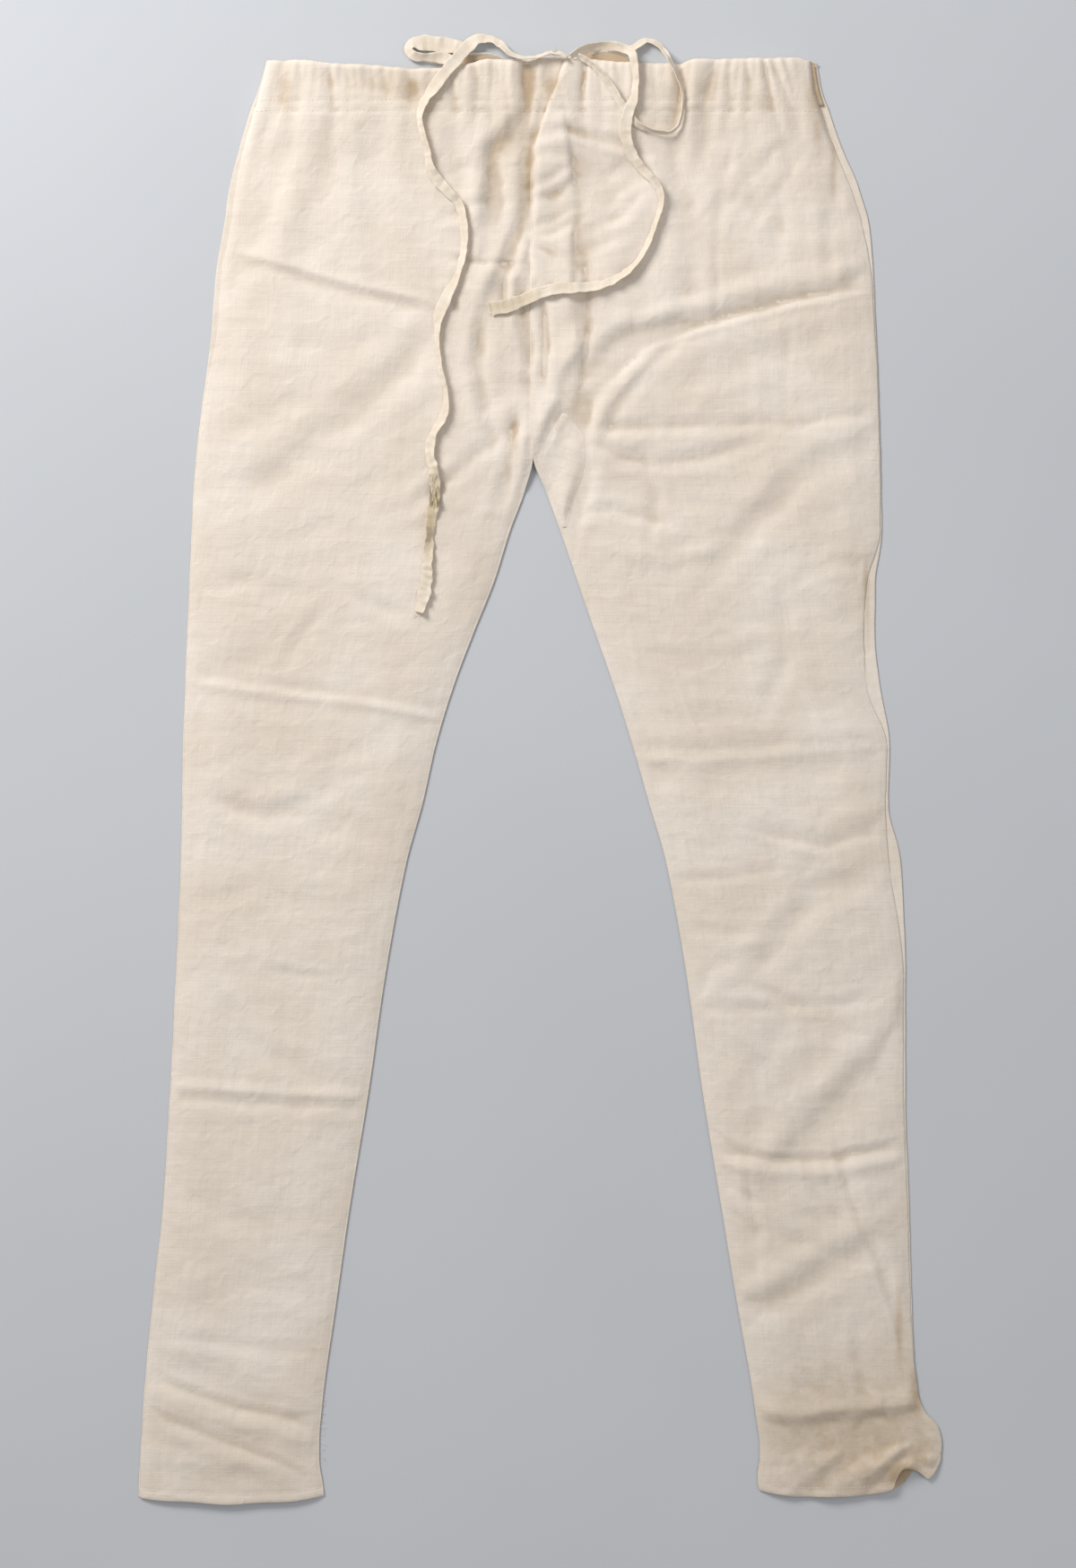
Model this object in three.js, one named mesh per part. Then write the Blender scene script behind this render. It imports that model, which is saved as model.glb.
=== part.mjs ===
// Drawstring pants of plain cotton, lying flat on their back on a surface.
//
// Frame: millimetres, +Z up off the surface, +Y towards the waist, +X to the right as seen from
// above. The origin is on the surface, under the middle of the cloth. "Left" and "right" are as
// seen from above. A place on the cloth is given as `across` (along X) and `down` (the distance
// below the top of the waist).

import * as THREE from 'three';

// ---- driving dimensions ----------------------------------------------------------------------
const GARMENT_LENGTH = 1008; // top of the waist to the lowest point of the hems
const CLOTH = 1.0; // wall of every piece of cloth
const SEAM_GAP = 0.3; // free space between neighbouring pieces
const LAYER = CLOTH + SEAM_GAP; // height that one layer of cloth takes
const CASING_DEPTH = 36; // top of the waist to the lower stitching of the casing
const CASING_TURN = 34; // depth of the edge that is turned to the inside
const TURN_TOP = 2.2; // the turned edge begins this far below the top, inside the fold
const CASING_FADE = 44; // below the casing, the front comes down to the back over this
const CENTRE_SEAM = -6; // across, where the left and right legs meet above the crotch
const CROTCH_DOWN = 279;
const HEM_BOW = 4; // the hems hang this much lower in their middle
const AIR = 2.4; // height that the front keeps over the back, away from its edges
const EDGE_ROLL = 16; // width over which the front comes down at its edges
const TAPE_WIDTH = 8.5; // drawstring tape
const TAPE_THICKNESS = 1.0;
const TAPE_REST = 0.7; // tape above the drawn surface of the cloth
const WAIST_SLOPE = 13; // beyond the waist, a tape comes down to the surface over this

// ---- mesh sizes ------------------------------------------------------------------------------
const FRONT_COLUMNS = 13;
const FRONT_UPPER_STEP = 10; // rows of the front above the thigh
const FRONT_LOWER_STEP = 19; // rows of the front below it
const THIGH_DOWN = 340;
const BACK_COLUMNS = 3;
const BACK_STEP = 26;
const CASING_STEP = 4.2; // columns of the gathered casing
const TURN_STEP = 15;

const COLOURS = {
  cloth: '#e6dccd',
  clothInside: '#d9c9b1',
  gusset: '#e2d8c8',
  tape: '#eae0c8',
};

/** Rows of numbers with named columns. */
function table(columns, rows) {
  return rows.map((row) => Object.fromEntries(columns.map((name, index) => [name, row[index]])));
}

// The flat shape: the edges of the back and front on each side, and the inner edges of the legs,
// which lie on the centre seam above the crotch. A waist opening is left above the centre seam.
const OUTLINE = table(
  ['down', 'leftBack', 'leftFront', 'leftInner', 'rightInner', 'rightFront', 'rightBack'],
  [
    [0, -191, -190.5, 4.5, 19, 188.5, 193],
    [20, -196, -195, 2, 11, 191, 196],
    [40, -203, -200.5, 0, 3, 196.5, 202],
    [65, -210, -207, -5, -4.5, 205.5, 211],
    [90, -216.5, -212, CENTRE_SEAM, CENTRE_SEAM, 216, 221.5],
    [120, -221, -216, CENTRE_SEAM, CENTRE_SEAM, 225, 229.5],
    [150, -226, -222, CENTRE_SEAM, CENTRE_SEAM, 230.5, 232],
    [190, -229, -225, CENTRE_SEAM, CENTRE_SEAM, 233, 234],
    [230, -234, -232.5, CENTRE_SEAM, CENTRE_SEAM, 235, 235.5],
    [CROTCH_DOWN, -240, -239, CENTRE_SEAM, -4, 236.5, 237],
    [300, -241.5, -240.5, -11, 4, 237, 237.5],
    [330, -243, -242, -22, 15, 237, 238],
    [365, -244.5, -243.5, -33, 27, 228, 233.5],
    [400, -246, -245, -47, 39, 225.5, 233],
    [440, -247.5, -246.5, -62, 53, 228, 237],
    [480, -249, -248, -74, 65.5, 241.5, 243.5],
    [520, -249.5, -248.5, -83, 77, 240.5, 242.5],
    [560, -250.5, -249.5, -94, 88.5, 243, 251],
    [640, -254, -253, -109, 103, 253, 254.5],
    [720, -258, -257, -120.5, 114, 253, 254.5],
    [800, -263, -262, -133.5, 127, 256, 257],
    [870, -270.5, -269.5, -143.5, 138.5, 258, 259],
    [930, -276, -275, -152, 149, 265, 261],
    [945, -277, -276, -153.5, 151, 269, 261.5],
    [955, -277.5, -276.5, -154.5, 152.5, 277.5, 262],
    [966, -278.5, -277.5, -155, 154, 280, 262],
    [977, -279, -278, -155, 154, 278.5, 261.5],
    [986, -279.5, -278.5, -154, 152.5, 266, 259],
    [991, -279.7, -278.7, -153, 152.5, 252, 257],
    [1004, -280, -279, -151.5, 155, 246, 249],
  ],
);

// The waist edge dips between the gathers.
const WAIST_EDGE = table(
  ['across', 'dip'],
  [
    [-192, 3], [-172, 1.5], [-146, 4], [-118, 5.5], [-86, 8], [-62, 7], [-34, 1], [-20, 1.5],
    [0, 0.5], [20, 0], [52, 3], [95, 4.5], [107, 1.5], [150, 0.5], [172, 0], [188, 2], [194, 4],
  ],
);

// Hem corners of each leg: how far the hem lies above the longest point at its outer and inner end.
const HEMS = {
  left: { outer: 4, inner: 5, down: 1004 },
  right: { outer: 12, inner: 5, down: 1000 },
};

// Pressed and rumpled folds of the front, each along a straight line; a negative height is a trough.
const FOLDS = table(
  ['fromAcross', 'fromDown', 'toAcross', 'toDown', 'width', 'height'],
  [
    [-226, 133, -86, 172, 8, -1.4],
    [-170, 279, -83, 198, 10, -1.8],
    [-69, 298, -20, 258, 8, -1.8],
    [-260, 434, -60, 460, 8, 1.8],
    [-206, 528, -158, 521, 9, -1.5],
    [-262, 719, -118, 728, 8, 1.4],
    [-280, 918, -231, 932, 8, -1.8],
    [-231, 932, -150, 951, 8, -1.8],
    [-280, 942, -193, 973, 7, -1.5],
    [-193, 973, -160, 992, 7, -1.5],
    [-3, 34, -33, 78, 8, -3.0],
    [-7, 80, -31, 166, 7, -2.4],
    [24, 66, 24, 142, 8, -1.8],
    [31, 165, 33, 200, 6, -2.0],
    [21, 182, -4, 266, 10, 1.8],
    [25, 232, 50, 200, 8, -2.0],
    [44, 270, 80, 213, 8, -1.6],
    [73, 197, 107, 188, 7, -2.4],
    [107, 188, 240, 155, 7, -2.4],
    [80, 184, 240, 144, 10, 1.2],
    [60, 271, 122, 268, 9, 1.2],
    [134, 342, 214, 275, 11, -1.8],
    [60, 480, 250, 478, 8, 2.2],
    [62, 494, 246, 491, 10, -1.6],
    [168, 551, 228, 543, 9, -1.8],
    [168, 616, 212, 583, 9, -1.6],
    [258, 630, 168, 748, 12, 1.8],
    [256, 658, 194, 731, 9, -2.0],
    [116, 755, 258, 763, 8, -1.8],
    [140, 872, 230, 818, 10, 1.8],
    [220, 792, 256, 902, 8, -1.8],
    [146, 940, 266, 943, 8, 2.4],
    [150, 957, 260, 948, 9, -2.0],
    [186, 1003, 252, 964, 7, -2.4],
    [206, 1006, 268, 968, 8, 3.2],
    [262, 954, 282, 976, 7, 3.0],
  ],
);

// Troughs between the gathers under the drawstring. Each leans across by `lean` for each
// millimetre down and has died away at `reach`.
const GATHERS = table(
  ['across', 'width', 'depth', 'reach', 'lean'],
  [
    [-176.5, 5, 3.2, 70, -0.3],
    [-166, 4, 1.8, 34, -0.1],
    [-156, 4, 1.2, 30, 0],
    [-145, 4.5, 2.0, 44, 0],
    [-135, 4.5, 1.8, 40, 0.05],
    [-122, 5, 1.2, 36, 0],
    [-107, 5, 1.4, 40, 0],
    [-91, 5, 2.0, 38, 0],
    [-76, 5, 1.5, 34, 0],
    [-60, 5, 1.8, 40, 0],
    [-45, 4.5, 1.8, 46, 0],
    [-34, 4.5, 1.4, 60, 0],
    [-23, 4.5, 1.5, 44, 0],
    [-9.5, 4.5, 3.0, 40, 0.05],
    [30.5, 4.5, 3.0, 40, 0],
    [42, 4.5, 1.4, 48, 0],
    [54, 5, 1.8, 50, 0],
    [67, 5, 1.8, 40, 0],
    [80, 5, 1.4, 34, 0],
    [99, 5, 3.0, 70, -0.1],
    [121, 6, 2.4, 90, -0.15],
    [134, 5, 2.0, 60, -0.1],
    [144, 4, 1.8, 34, 0],
    [154, 4, 2.8, 38, 0.25],
    [163, 4, 2.6, 36, 0.3],
    [172, 4.5, 2.0, 40, 0.2],
    [183, 4.5, 3.0, 70, 0.35],
  ],
);

// Outline of the crotch gusset, on the right leg.
const GUSSET = table(
  ['down', 'inner', 'outer'],
  [
    [249, 15, 18],
    [258, 9, 26],
    [266, 4.5, 30.5],
    [280, -1.5, 31],
    [292, 2.5, 29],
    [306, 7.8, 24],
    [328, 15.6, 18],
  ],
);

// Routes of the drawstring tape. `layer` counts the strands of tape that lie underneath.
const ROUTE_COLUMNS = ['across', 'down', 'layer'];
const LEFT_TAIL = table(ROUTE_COLUMNS, [
  [-14, 2, 0], [-21.5, -1, 0], [-27, -7.5, 0], [-34, -12, 0], [-43, -12, 1], [-50, -6.5, 1],
  [-57, 2, 1], [-67, 14, 0.6], [-75.5, 25.5, 0], [-80.5, 33, 0], [-83.5, 42.5, 0],
  [-81.5, 55, 0], [-78.5, 65.5, 0], [-76, 79, 0], [-70.5, 87.5, 0], [-64, 95, 0],
  [-56.5, 103, 0], [-53, 118, 0], [-53, 135.5, 0], [-58, 154.5, 0], [-64, 166, 0],
  [-70, 180.5, 0], [-71.5, 196, 0], [-70, 214, 0], [-65.5, 233, 0], [-66.5, 249, 0],
  [-74.5, 264, 0], [-77, 276, 0], [-73.5, 290, 0], [-73, 307, 0], [-75.5, 321, 0],
  [-77, 335, 0], [-78, 350.5, 0], [-79.5, 370, 0], [-84, 387.5, 0],
]);
const RIGHT_TAIL = table(ROUTE_COLUMNS, [
  [21, 1.5, 0], [32, -5, 0], [44.5, -7.5, 0], [55.5, -6, 1], [63, -1.5, 1], [66, 10, 0.4],
  [66.5, 21, 0.4], [64.5, 32, 1], [61, 41, 1], [59, 51, 0.6], [60.5, 60, 0], [64, 69.5, 0],
  [72, 80, 0], [81, 90, 0], [84.5, 99, 0], [83.5, 107, 0], [79.5, 119, 0], [74, 133, 0],
  [65, 146.5, 0], [53.5, 155, 0], [39, 160.5, 0], [24, 162, 0], [8, 163, 0], [-4, 166.5, 0],
  [-14, 171, 0], [-23.5, 174, 0], [-34, 176, 0],
]);
const LEFT_LOOP = table(ROUTE_COLUMNS, [
  [-47.5, 1, 0], [-52, -3, 0], [-58, -7, 0], [-64, -9.5, 0], [-70, -11, 0], [-77, -12, 0],
  [-84, -12.5, 0], [-90, -11.5, 0], [-93.5, -7, 0], [-92.5, -2, 0], [-88, 1, 0],
  [-82, 2, 0], [-75.5, 2, 0], [-69, 3, 0], [-63, 5, 0], [-57, 8, 0],
]);
const RIGHT_LOOP = table(ROUTE_COLUMNS, [
  [29.5, 4, 0], [36.5, 8, 0], [43.5, 15, 0], [49.5, 23, 0], [55, 32, 0], [60.5, 39.5, 0],
  [66.5, 46, 0], [73.5, 50, 0], [81.5, 52, 0], [89.5, 51, 0], [95.5, 46.5, 0], [98.5, 39, 0],
  [99, 30, 0], [98, 20.5, 0], [95, 12, 0], [91.5, 4, 0], [87, -3.5, 0], [81.5, -8.5, 0],
  [74.5, -10, 0], [68, -7.5, 0], [61.5, -4, 0], [55.5, 0, 0],
]);

// ---- numbers from the tables -----------------------------------------------------------------

/** A smooth curve through one column of a table whose `key` column rises. */
function smoothValue(rows, key, column, at) {
  const last = rows.length - 1;
  if (at <= rows[0][key]) return rows[0][column];
  if (at >= rows[last][key]) return rows[last][column];
  const k = rows.findIndex((row) => row[key] > at) - 1;
  const slope = (a, b) => (rows[b][column] - rows[a][column]) / (rows[b][key] - rows[a][key]);
  // A knot has the mean slope of its two sides, or none where the curve turns back.
  const knotSlope = (i) => {
    if (i === 0 || i === last) return slope(Math.max(i - 1, 0), Math.min(i + 1, last));
    const before = slope(i - 1, i);
    const after = slope(i, i + 1);
    return before * after <= 0 ? 0 : (2 * before * after) / (before + after);
  };
  const span = rows[k + 1][key] - rows[k][key];
  const t = (at - rows[k][key]) / span;
  const start = rows[k][column] * (1 + 2 * t) * (1 - t) ** 2;
  const end = rows[k + 1][column] * t * t * (3 - 2 * t);
  const bend = knotSlope(k) * t * (1 - t) ** 2 - knotSlope(k + 1) * t * t * (1 - t);
  return start + end + bend * span;
}

const edgeAt = (column, down) => smoothValue(OUTLINE, 'down', column, down);
const waistDip = (across) => smoothValue(WAIST_EDGE, 'across', 'dip', across);
const toY = (down) => GARMENT_LENGTH / 2 - down;
const smoothStep = (x) => THREE.MathUtils.smoothstep(x, 0, 1);

/** Shares of a length: `count` even steps from 0 to 1. */
const evenSteps = (count) => Array.from({ length: count + 1 }, (_, i) => i / count);

/** Distances from `start` to `end` in steps of about `step`. */
function stepsBetween(start, end, step) {
  const count = Math.max(1, Math.round((end - start) / step));
  return evenSteps(count).map((share) => THREE.MathUtils.lerp(start, end, share));
}

// ---- height of the front ---------------------------------------------------------------------

/** Height that one straight fold gives to a place. */
function foldHeight(fold, across, down) {
  const alongX = fold.toAcross - fold.fromAcross;
  const alongY = fold.toDown - fold.fromDown;
  const length = Math.hypot(alongX, alongY);
  const offX = across - fold.fromAcross;
  const offY = down - fold.fromDown;
  const along = (offX * alongX + offY * alongY) / (length * length);
  const aside = (offX * alongY - offY * alongX) / length;
  const beyond = Math.max(0, -along, along - 1) * length;
  const shortfall = Math.hypot(aside, beyond) / fold.width;
  return fold.height * Math.exp(-shortfall * shortfall);
}

/** Depth that one gather takes away at a place. */
function gatherDepth(gather, across, down) {
  const spread = gather.width * (1 + down / 120);
  const aside = (across - gather.across - gather.lean * down) / spread;
  const fade = Math.exp(-((down / gather.reach) ** 2));
  return gather.depth * fade * Math.exp(-aside * aside);
}

/** From 0 on the free edges of a leg to 1 inside it. The centre seam isn't a free edge. */
function insideShare(across, down) {
  const toOuter = Math.min(
    across - edgeAt('leftFront', down),
    edgeAt('rightFront', down) - across,
  );
  const inner = across < CENTRE_SEAM ? edgeAt('leftInner', down) - across
    : across - edgeAt('rightInner', down);
  const crotchClear = Math.max(0, CROTCH_DOWN + EDGE_ROLL - down);
  const nearest = Math.max(0, Math.min(toOuter, Math.max(inner, crotchClear)));
  return 1 - Math.exp(-((nearest / EDGE_ROLL) ** 2) * 2);
}

/** Lowest height of the front's underside: it rises over the turned edges in the casing. */
function frontFloor(down) {
  const fall = smoothStep((down - CASING_DEPTH) / CASING_FADE);
  return LAYER + 2 * LAYER * (1 - fall);
}

/** Height of the upper face of the front. */
function frontTop(across, down) {
  const gatherAir = 2.2 * Math.exp(-((down / 80) ** 2));
  let relief = AIR + gatherAir;
  for (const fold of FOLDS) relief += foldHeight(fold, across, down);
  for (const gather of GATHERS) relief -= gatherDepth(gather, across, down);
  return frontFloor(down) + CLOTH + Math.max(0, relief) * insideShare(across, down);
}

// ---- meshes ----------------------------------------------------------------------------------

/** A closed wall between an upper and a lower grid of points, rows down and columns across. */
function wallGeometry(upper, lower) {
  const rows = upper.length;
  const columns = upper[0].length;
  const positions = [...upper.flat(), ...lower.flat()].flat();
  const indices = [];
  const quad = (a, b, c, d) => indices.push(a, b, c, a, c, d);
  const top = (i, j) => i * columns + j;
  const bottom = (i, j) => rows * columns + i * columns + j;
  for (let i = 0; i < rows - 1; i += 1) {
    for (let j = 0; j < columns - 1; j += 1) {
      quad(top(i, j), top(i + 1, j), top(i + 1, j + 1), top(i, j + 1));
      quad(bottom(i, j), bottom(i, j + 1), bottom(i + 1, j + 1), bottom(i + 1, j));
    }
    quad(top(i, 0), bottom(i, 0), bottom(i + 1, 0), top(i + 1, 0));
    const end = columns - 1;
    quad(top(i, end), top(i + 1, end), bottom(i + 1, end), bottom(i, end));
  }
  for (let j = 0; j < columns - 1; j += 1) {
    quad(top(0, j), top(0, j + 1), bottom(0, j + 1), bottom(0, j));
    const end = rows - 1;
    quad(top(end, j), bottom(end, j), bottom(end, j + 1), top(end, j + 1));
  }
  const geometry = new THREE.BufferGeometry();
  geometry.setAttribute('position', new THREE.Float32BufferAttribute(positions, 3));
  geometry.setIndex(indices);
  geometry.computeVertexNormals();
  return geometry;
}

/** A named mesh of cloth or tape with its own material. */
function clothMesh(name, geometry, colour) {
  const material = new THREE.MeshStandardMaterial({ color: colour, roughness: 0.92, metalness: 0 });
  const mesh = new THREE.Mesh(geometry, material);
  mesh.name = name;
  return mesh;
}

/** Edges of a leg panel, kept off the centre seam by half of the seam's gap. */
function legEdges(side, layer) {
  const outerColumn = side + layer;
  const innerColumn = `${side}Inner`;
  if (side === 'left') {
    return {
      start: (down) => edgeAt(outerColumn, down),
      end: (down) => edgeAt(innerColumn, down) - SEAM_GAP / 2,
    };
  }
  return {
    start: (down) => edgeAt(innerColumn, down) + SEAM_GAP / 2,
    end: (down) => edgeAt(outerColumn, down),
  };
}

/** How far a hem lies above its panel's lowest row: its corners are higher than its middle. */
function hemDown(side, share) {
  const hem = HEMS[side];
  const startRise = side === 'left' ? hem.outer : hem.inner;
  const endRise = side === 'left' ? hem.inner : hem.outer;
  const corner = THREE.MathUtils.lerp(startRise, endRise, share);
  return hem.down + HEM_BOW - corner * (1 - Math.sin(Math.PI * share));
}

/** Grids of a leg panel. A place's share of the length becomes a distance down to the bowed hem. */
function legGrid(side, layer, rowDowns, columns, heights) {
  const { start, end } = legEdges(side, layer);
  const lastDown = rowDowns[rowDowns.length - 1];
  const firstDown = rowDowns[0];
  return rowDowns.map((rowDown) => evenSteps(columns).map((share) => {
    const stretch = (rowDown - firstDown) / (lastDown - firstDown);
    const down = rowDown + (hemDown(side, share) - lastDown) * stretch ** 12;
    const across = THREE.MathUtils.lerp(start(rowDown), end(rowDown), share);
    return [across, toY(down), heights(across, down)];
  }));
}

function frontLeg(side) {
  const seam = CASING_DEPTH + SEAM_GAP;
  const upperRows = stepsBetween(seam, THIGH_DOWN, FRONT_UPPER_STEP);
  const lowerRows = stepsBetween(THIGH_DOWN, HEMS[side].down, FRONT_LOWER_STEP).slice(1);
  const rows = [...upperRows, ...lowerRows];
  const upper = legGrid(side, 'Front', rows, FRONT_COLUMNS, frontTop);
  const lower = legGrid(side, 'Front', rows, FRONT_COLUMNS, (across, down) => (
    frontTop(across, down) - CLOTH));
  return clothMesh(`front_${side}_leg`, wallGeometry(upper, lower), COLOURS.cloth);
}

function backLeg(side) {
  const rows = stepsBetween(CASING_DEPTH + SEAM_GAP, HEMS[side].down, BACK_STEP);
  const upper = legGrid(side, 'Back', rows, BACK_COLUMNS, () => CLOTH);
  const lower = legGrid(side, 'Back', rows, BACK_COLUMNS, () => 0);
  return clothMesh(`back_${side}_leg`, wallGeometry(upper, lower), COLOURS.cloth);
}

// Rows of the casing band, from its folded top edge down to the stitching. `rise` is the share of
// the height from the bottom of the fold, for the outer face and for the inner face of the band.
const CASING_BAND = table(
  ['outerDown', 'outerRise', 'innerDown', 'innerRise'],
  [
    [0, 0, CLOTH, 0],
    [0, 0.45, CLOTH, 0.35],
    [0.7, 0.78, 1.5, 0.68],
    [2.2, 0.95, 2.6, 0.9],
    [4.5, 1, 4.5, 1],
    [13, 1, 13, 1],
    [24, 1, 24, 1],
    [CASING_DEPTH, 1, CASING_DEPTH, 1],
  ],
);

/** The gathered outer band of the front casing, folded over at the top of the waist. */
function frontCasing(side) {
  const { start, end } = legEdges(side, 'Front');
  const columns = Math.round((end(CASING_DEPTH) - start(CASING_DEPTH)) / CASING_STEP);
  const foldBottom = 2 * LAYER;
  const turnTop = 3 * LAYER;
  const place = (rowDown, share) => {
    const across = THREE.MathUtils.lerp(start(rowDown), end(rowDown), share);
    const dip = waistDip(across) * (1 - rowDown / CASING_DEPTH);
    return [across, rowDown + dip];
  };
  const upper = CASING_BAND.map((row) => evenSteps(columns).map((share) => {
    const [across, down] = place(row.outerDown, share);
    const height = frontTop(across, row.outerDown);
    return [across, toY(down), THREE.MathUtils.lerp(foldBottom, height, row.outerRise)];
  }));
  const lower = CASING_BAND.map((row, index) => evenSteps(columns).map((share) => {
    const [across, down] = place(row.innerDown, share);
    const height = frontTop(across, row.innerDown) - CLOTH;
    const under = THREE.MathUtils.lerp(foldBottom, height, row.innerRise);
    return [across, toY(down), index === 0 ? foldBottom : Math.max(turnTop, under)];
  }));
  return clothMesh(`casing_front_${side}`, wallGeometry(upper, lower), COLOURS.cloth);
}

/** A flat strip of the waist between two heights, following the dips of the waist edge. */
function waistStrip(name, start, end, topDown, bottomDown, floor, colour) {
  const rows = [topDown, (topDown + bottomDown) / 2, bottomDown];
  const columns = Math.round((end(0) - start(0)) / TURN_STEP);
  const grid = (height) => rows.map((rowDown) => evenSteps(columns).map((share) => {
    const across = THREE.MathUtils.lerp(start(rowDown), end(rowDown), share);
    const dip = waistDip(across) * (1 - rowDown / CASING_DEPTH);
    return [across, toY(rowDown + dip), height];
  }));
  return clothMesh(name, wallGeometry(grid(floor + CLOTH), grid(floor)), colour);
}

/** The edge of a front half that is turned to the inside of the casing. */
function frontCasingTurn(side) {
  const { start, end } = legEdges(side, 'Front');
  return waistStrip(
    `casing_turn_front_${side}`,
    start,
    end,
    TURN_TOP,
    CASING_TURN,
    2 * LAYER,
    COLOURS.clothInside,
  );
}

/** The back casing: its outer band on the surface and its turned edge on top of that. */
function backCasing() {
  const start = (down) => edgeAt('leftBack', down);
  const end = (down) => edgeAt('rightBack', down);
  return [
    waistStrip('casing_back', start, end, 0, CASING_DEPTH, 0, COLOURS.cloth),
    waistStrip('casing_turn_back', start, end, 0, CASING_TURN, LAYER, COLOURS.clothInside),
  ];
}

/** The gusset lies on the right front, at the crotch. */
function crotchGusset() {
  const columns = 6;
  const rows = stepsBetween(GUSSET[0].down, GUSSET[GUSSET.length - 1].down, 6);
  const grid = (lift) => rows.map((down) => evenSteps(columns).map((share) => {
    const inner = smoothValue(GUSSET, 'down', 'inner', down);
    const outer = smoothValue(GUSSET, 'down', 'outer', down);
    const across = THREE.MathUtils.lerp(inner, outer, share);
    return [across, toY(down), frontTop(across, down) + lift];
  }));
  const lift = TAPE_REST;
  return clothMesh('crotch_gusset', wallGeometry(grid(lift + CLOTH), grid(lift)), COLOURS.gusset);
}

// ---- drawstring ------------------------------------------------------------------------------

/** Height of what a tape lies on: the front, or the slope from the waist edge to the surface. */
function supportHeight(across, down) {
  if (down >= 0) return frontTop(across, down);
  const slope = Math.max(0, 1 + down / WAIST_SLOPE);
  return frontTop(across, 0) * slope;
}

/** Largest support height under the width of a tape. */
function supportUnderTape(centre, sideways) {
  const heights = [-0.5, -0.25, 0, 0.25, 0.5].map((share) => supportHeight(
    centre.x + sideways.x * TAPE_WIDTH * share,
    toY(centre.y + sideways.y * TAPE_WIDTH * share),
  ));
  return Math.max(...heights);
}

/** Each value becomes the largest, and then the mean, of its neighbours, so it never sinks. */
function easeOver(values, reach) {
  const around = (list, i, width) => list.slice(Math.max(0, i - width), i + width + 1);
  const highest = values.map((_, i) => Math.max(...around(values, i, 2 * reach)));
  return highest.map((_, i) => {
    const near = around(highest, i, reach);
    return near.reduce((sum, value) => sum + value, 0) / near.length;
  });
}

/** Corners of the flat tape's section: aside and up from its middle, in shares of its size. */
const TAPE_SECTION = table(
  ['aside', 'up'],
  [
    [-0.5, -0.2], [-0.45, -0.5], [0.45, -0.5], [0.5, -0.2],
    [0.5, 0.2], [0.45, 0.5], [-0.45, 0.5], [-0.5, 0.2],
  ],
);

/** A closed flat tape that lies along a route on the cloth. */
function tape(name, route, steps) {
  const routePoints = route.map((row) => new THREE.Vector3(row.across, toY(row.down), row.layer));
  const curve = new THREE.CatmullRomCurve3(routePoints, false, 'centripetal');
  const shares = evenSteps(steps);
  const centres = shares.map((share) => curve.getPointAt(share));
  const sideways = shares.map((share) => {
    const tangent = curve.getTangentAt(share);
    return new THREE.Vector3(-tangent.y, tangent.x, 0).normalize();
  });
  const support = easeOver(centres.map((centre, i) => supportUnderTape(centre, sideways[i])), 1);
  const strand = TAPE_THICKNESS + TAPE_REST;
  const positions = [];
  centres.forEach((centre, i) => {
    const height = support[i] + TAPE_REST + centre.z * strand + TAPE_THICKNESS / 2;
    for (const corner of TAPE_SECTION) {
      const aside = corner.aside * TAPE_WIDTH;
      positions.push(
        centre.x + sideways[i].x * aside,
        centre.y + sideways[i].y * aside,
        height + corner.up * TAPE_THICKNESS,
      );
    }
  });
  const geometry = new THREE.BufferGeometry();
  geometry.setAttribute('position', new THREE.Float32BufferAttribute(positions, 3));
  geometry.setIndex(tubeIndices(steps, TAPE_SECTION.length));
  geometry.computeVertexNormals();
  return clothMesh(name, geometry, COLOURS.tape);
}

/** Faces of a closed tube of `steps` stretches whose rings have `sides` corners. */
function tubeIndices(steps, sides) {
  const indices = [];
  for (let i = 0; i < steps; i += 1) {
    for (let k = 0; k < sides; k += 1) {
      const a = i * sides + k;
      const b = i * sides + ((k + 1) % sides);
      indices.push(a, b, b + sides, a, b + sides, a + sides);
    }
  }
  const lastRing = steps * sides;
  for (let k = 1; k < sides - 1; k += 1) {
    indices.push(0, k + 1, k);
    indices.push(lastRing, lastRing + k, lastRing + k + 1);
  }
  return indices;
}

function drawstring() {
  return [
    tape('drawstring_left_tail', LEFT_TAIL, 34),
    tape('drawstring_left_loop', LEFT_LOOP, 12),
    tape('drawstring_right_tail', RIGHT_TAIL, 24),
    tape('drawstring_right_loop', RIGHT_LOOP, 18),
  ];
}

// ---- the garment -----------------------------------------------------------------------------
const pants = new THREE.Group();
for (const side of ['left', 'right']) {
  pants.add(backLeg(side), frontLeg(side), frontCasing(side), frontCasingTurn(side));
}
pants.add(...backCasing(), crotchGusset(), ...drawstring());

export default pants;
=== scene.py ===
"""Drawstring pants of plain unbleached cotton, lying flat on their back: the finished look.

A place on the garment is given in millimetres as `across` (along +X, to the right as seen from
above) and `down` (below the top of the waist). Meshes are made in metres, in the frame of the
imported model: +Z up off the surface, +Y towards the waist. "Left" and "right" are as seen from
above. Lengths are in millimetres where nothing else is said.
"""
import logging
import math
from collections.abc import Sequence
from dataclasses import dataclass
from enum import Enum

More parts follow.
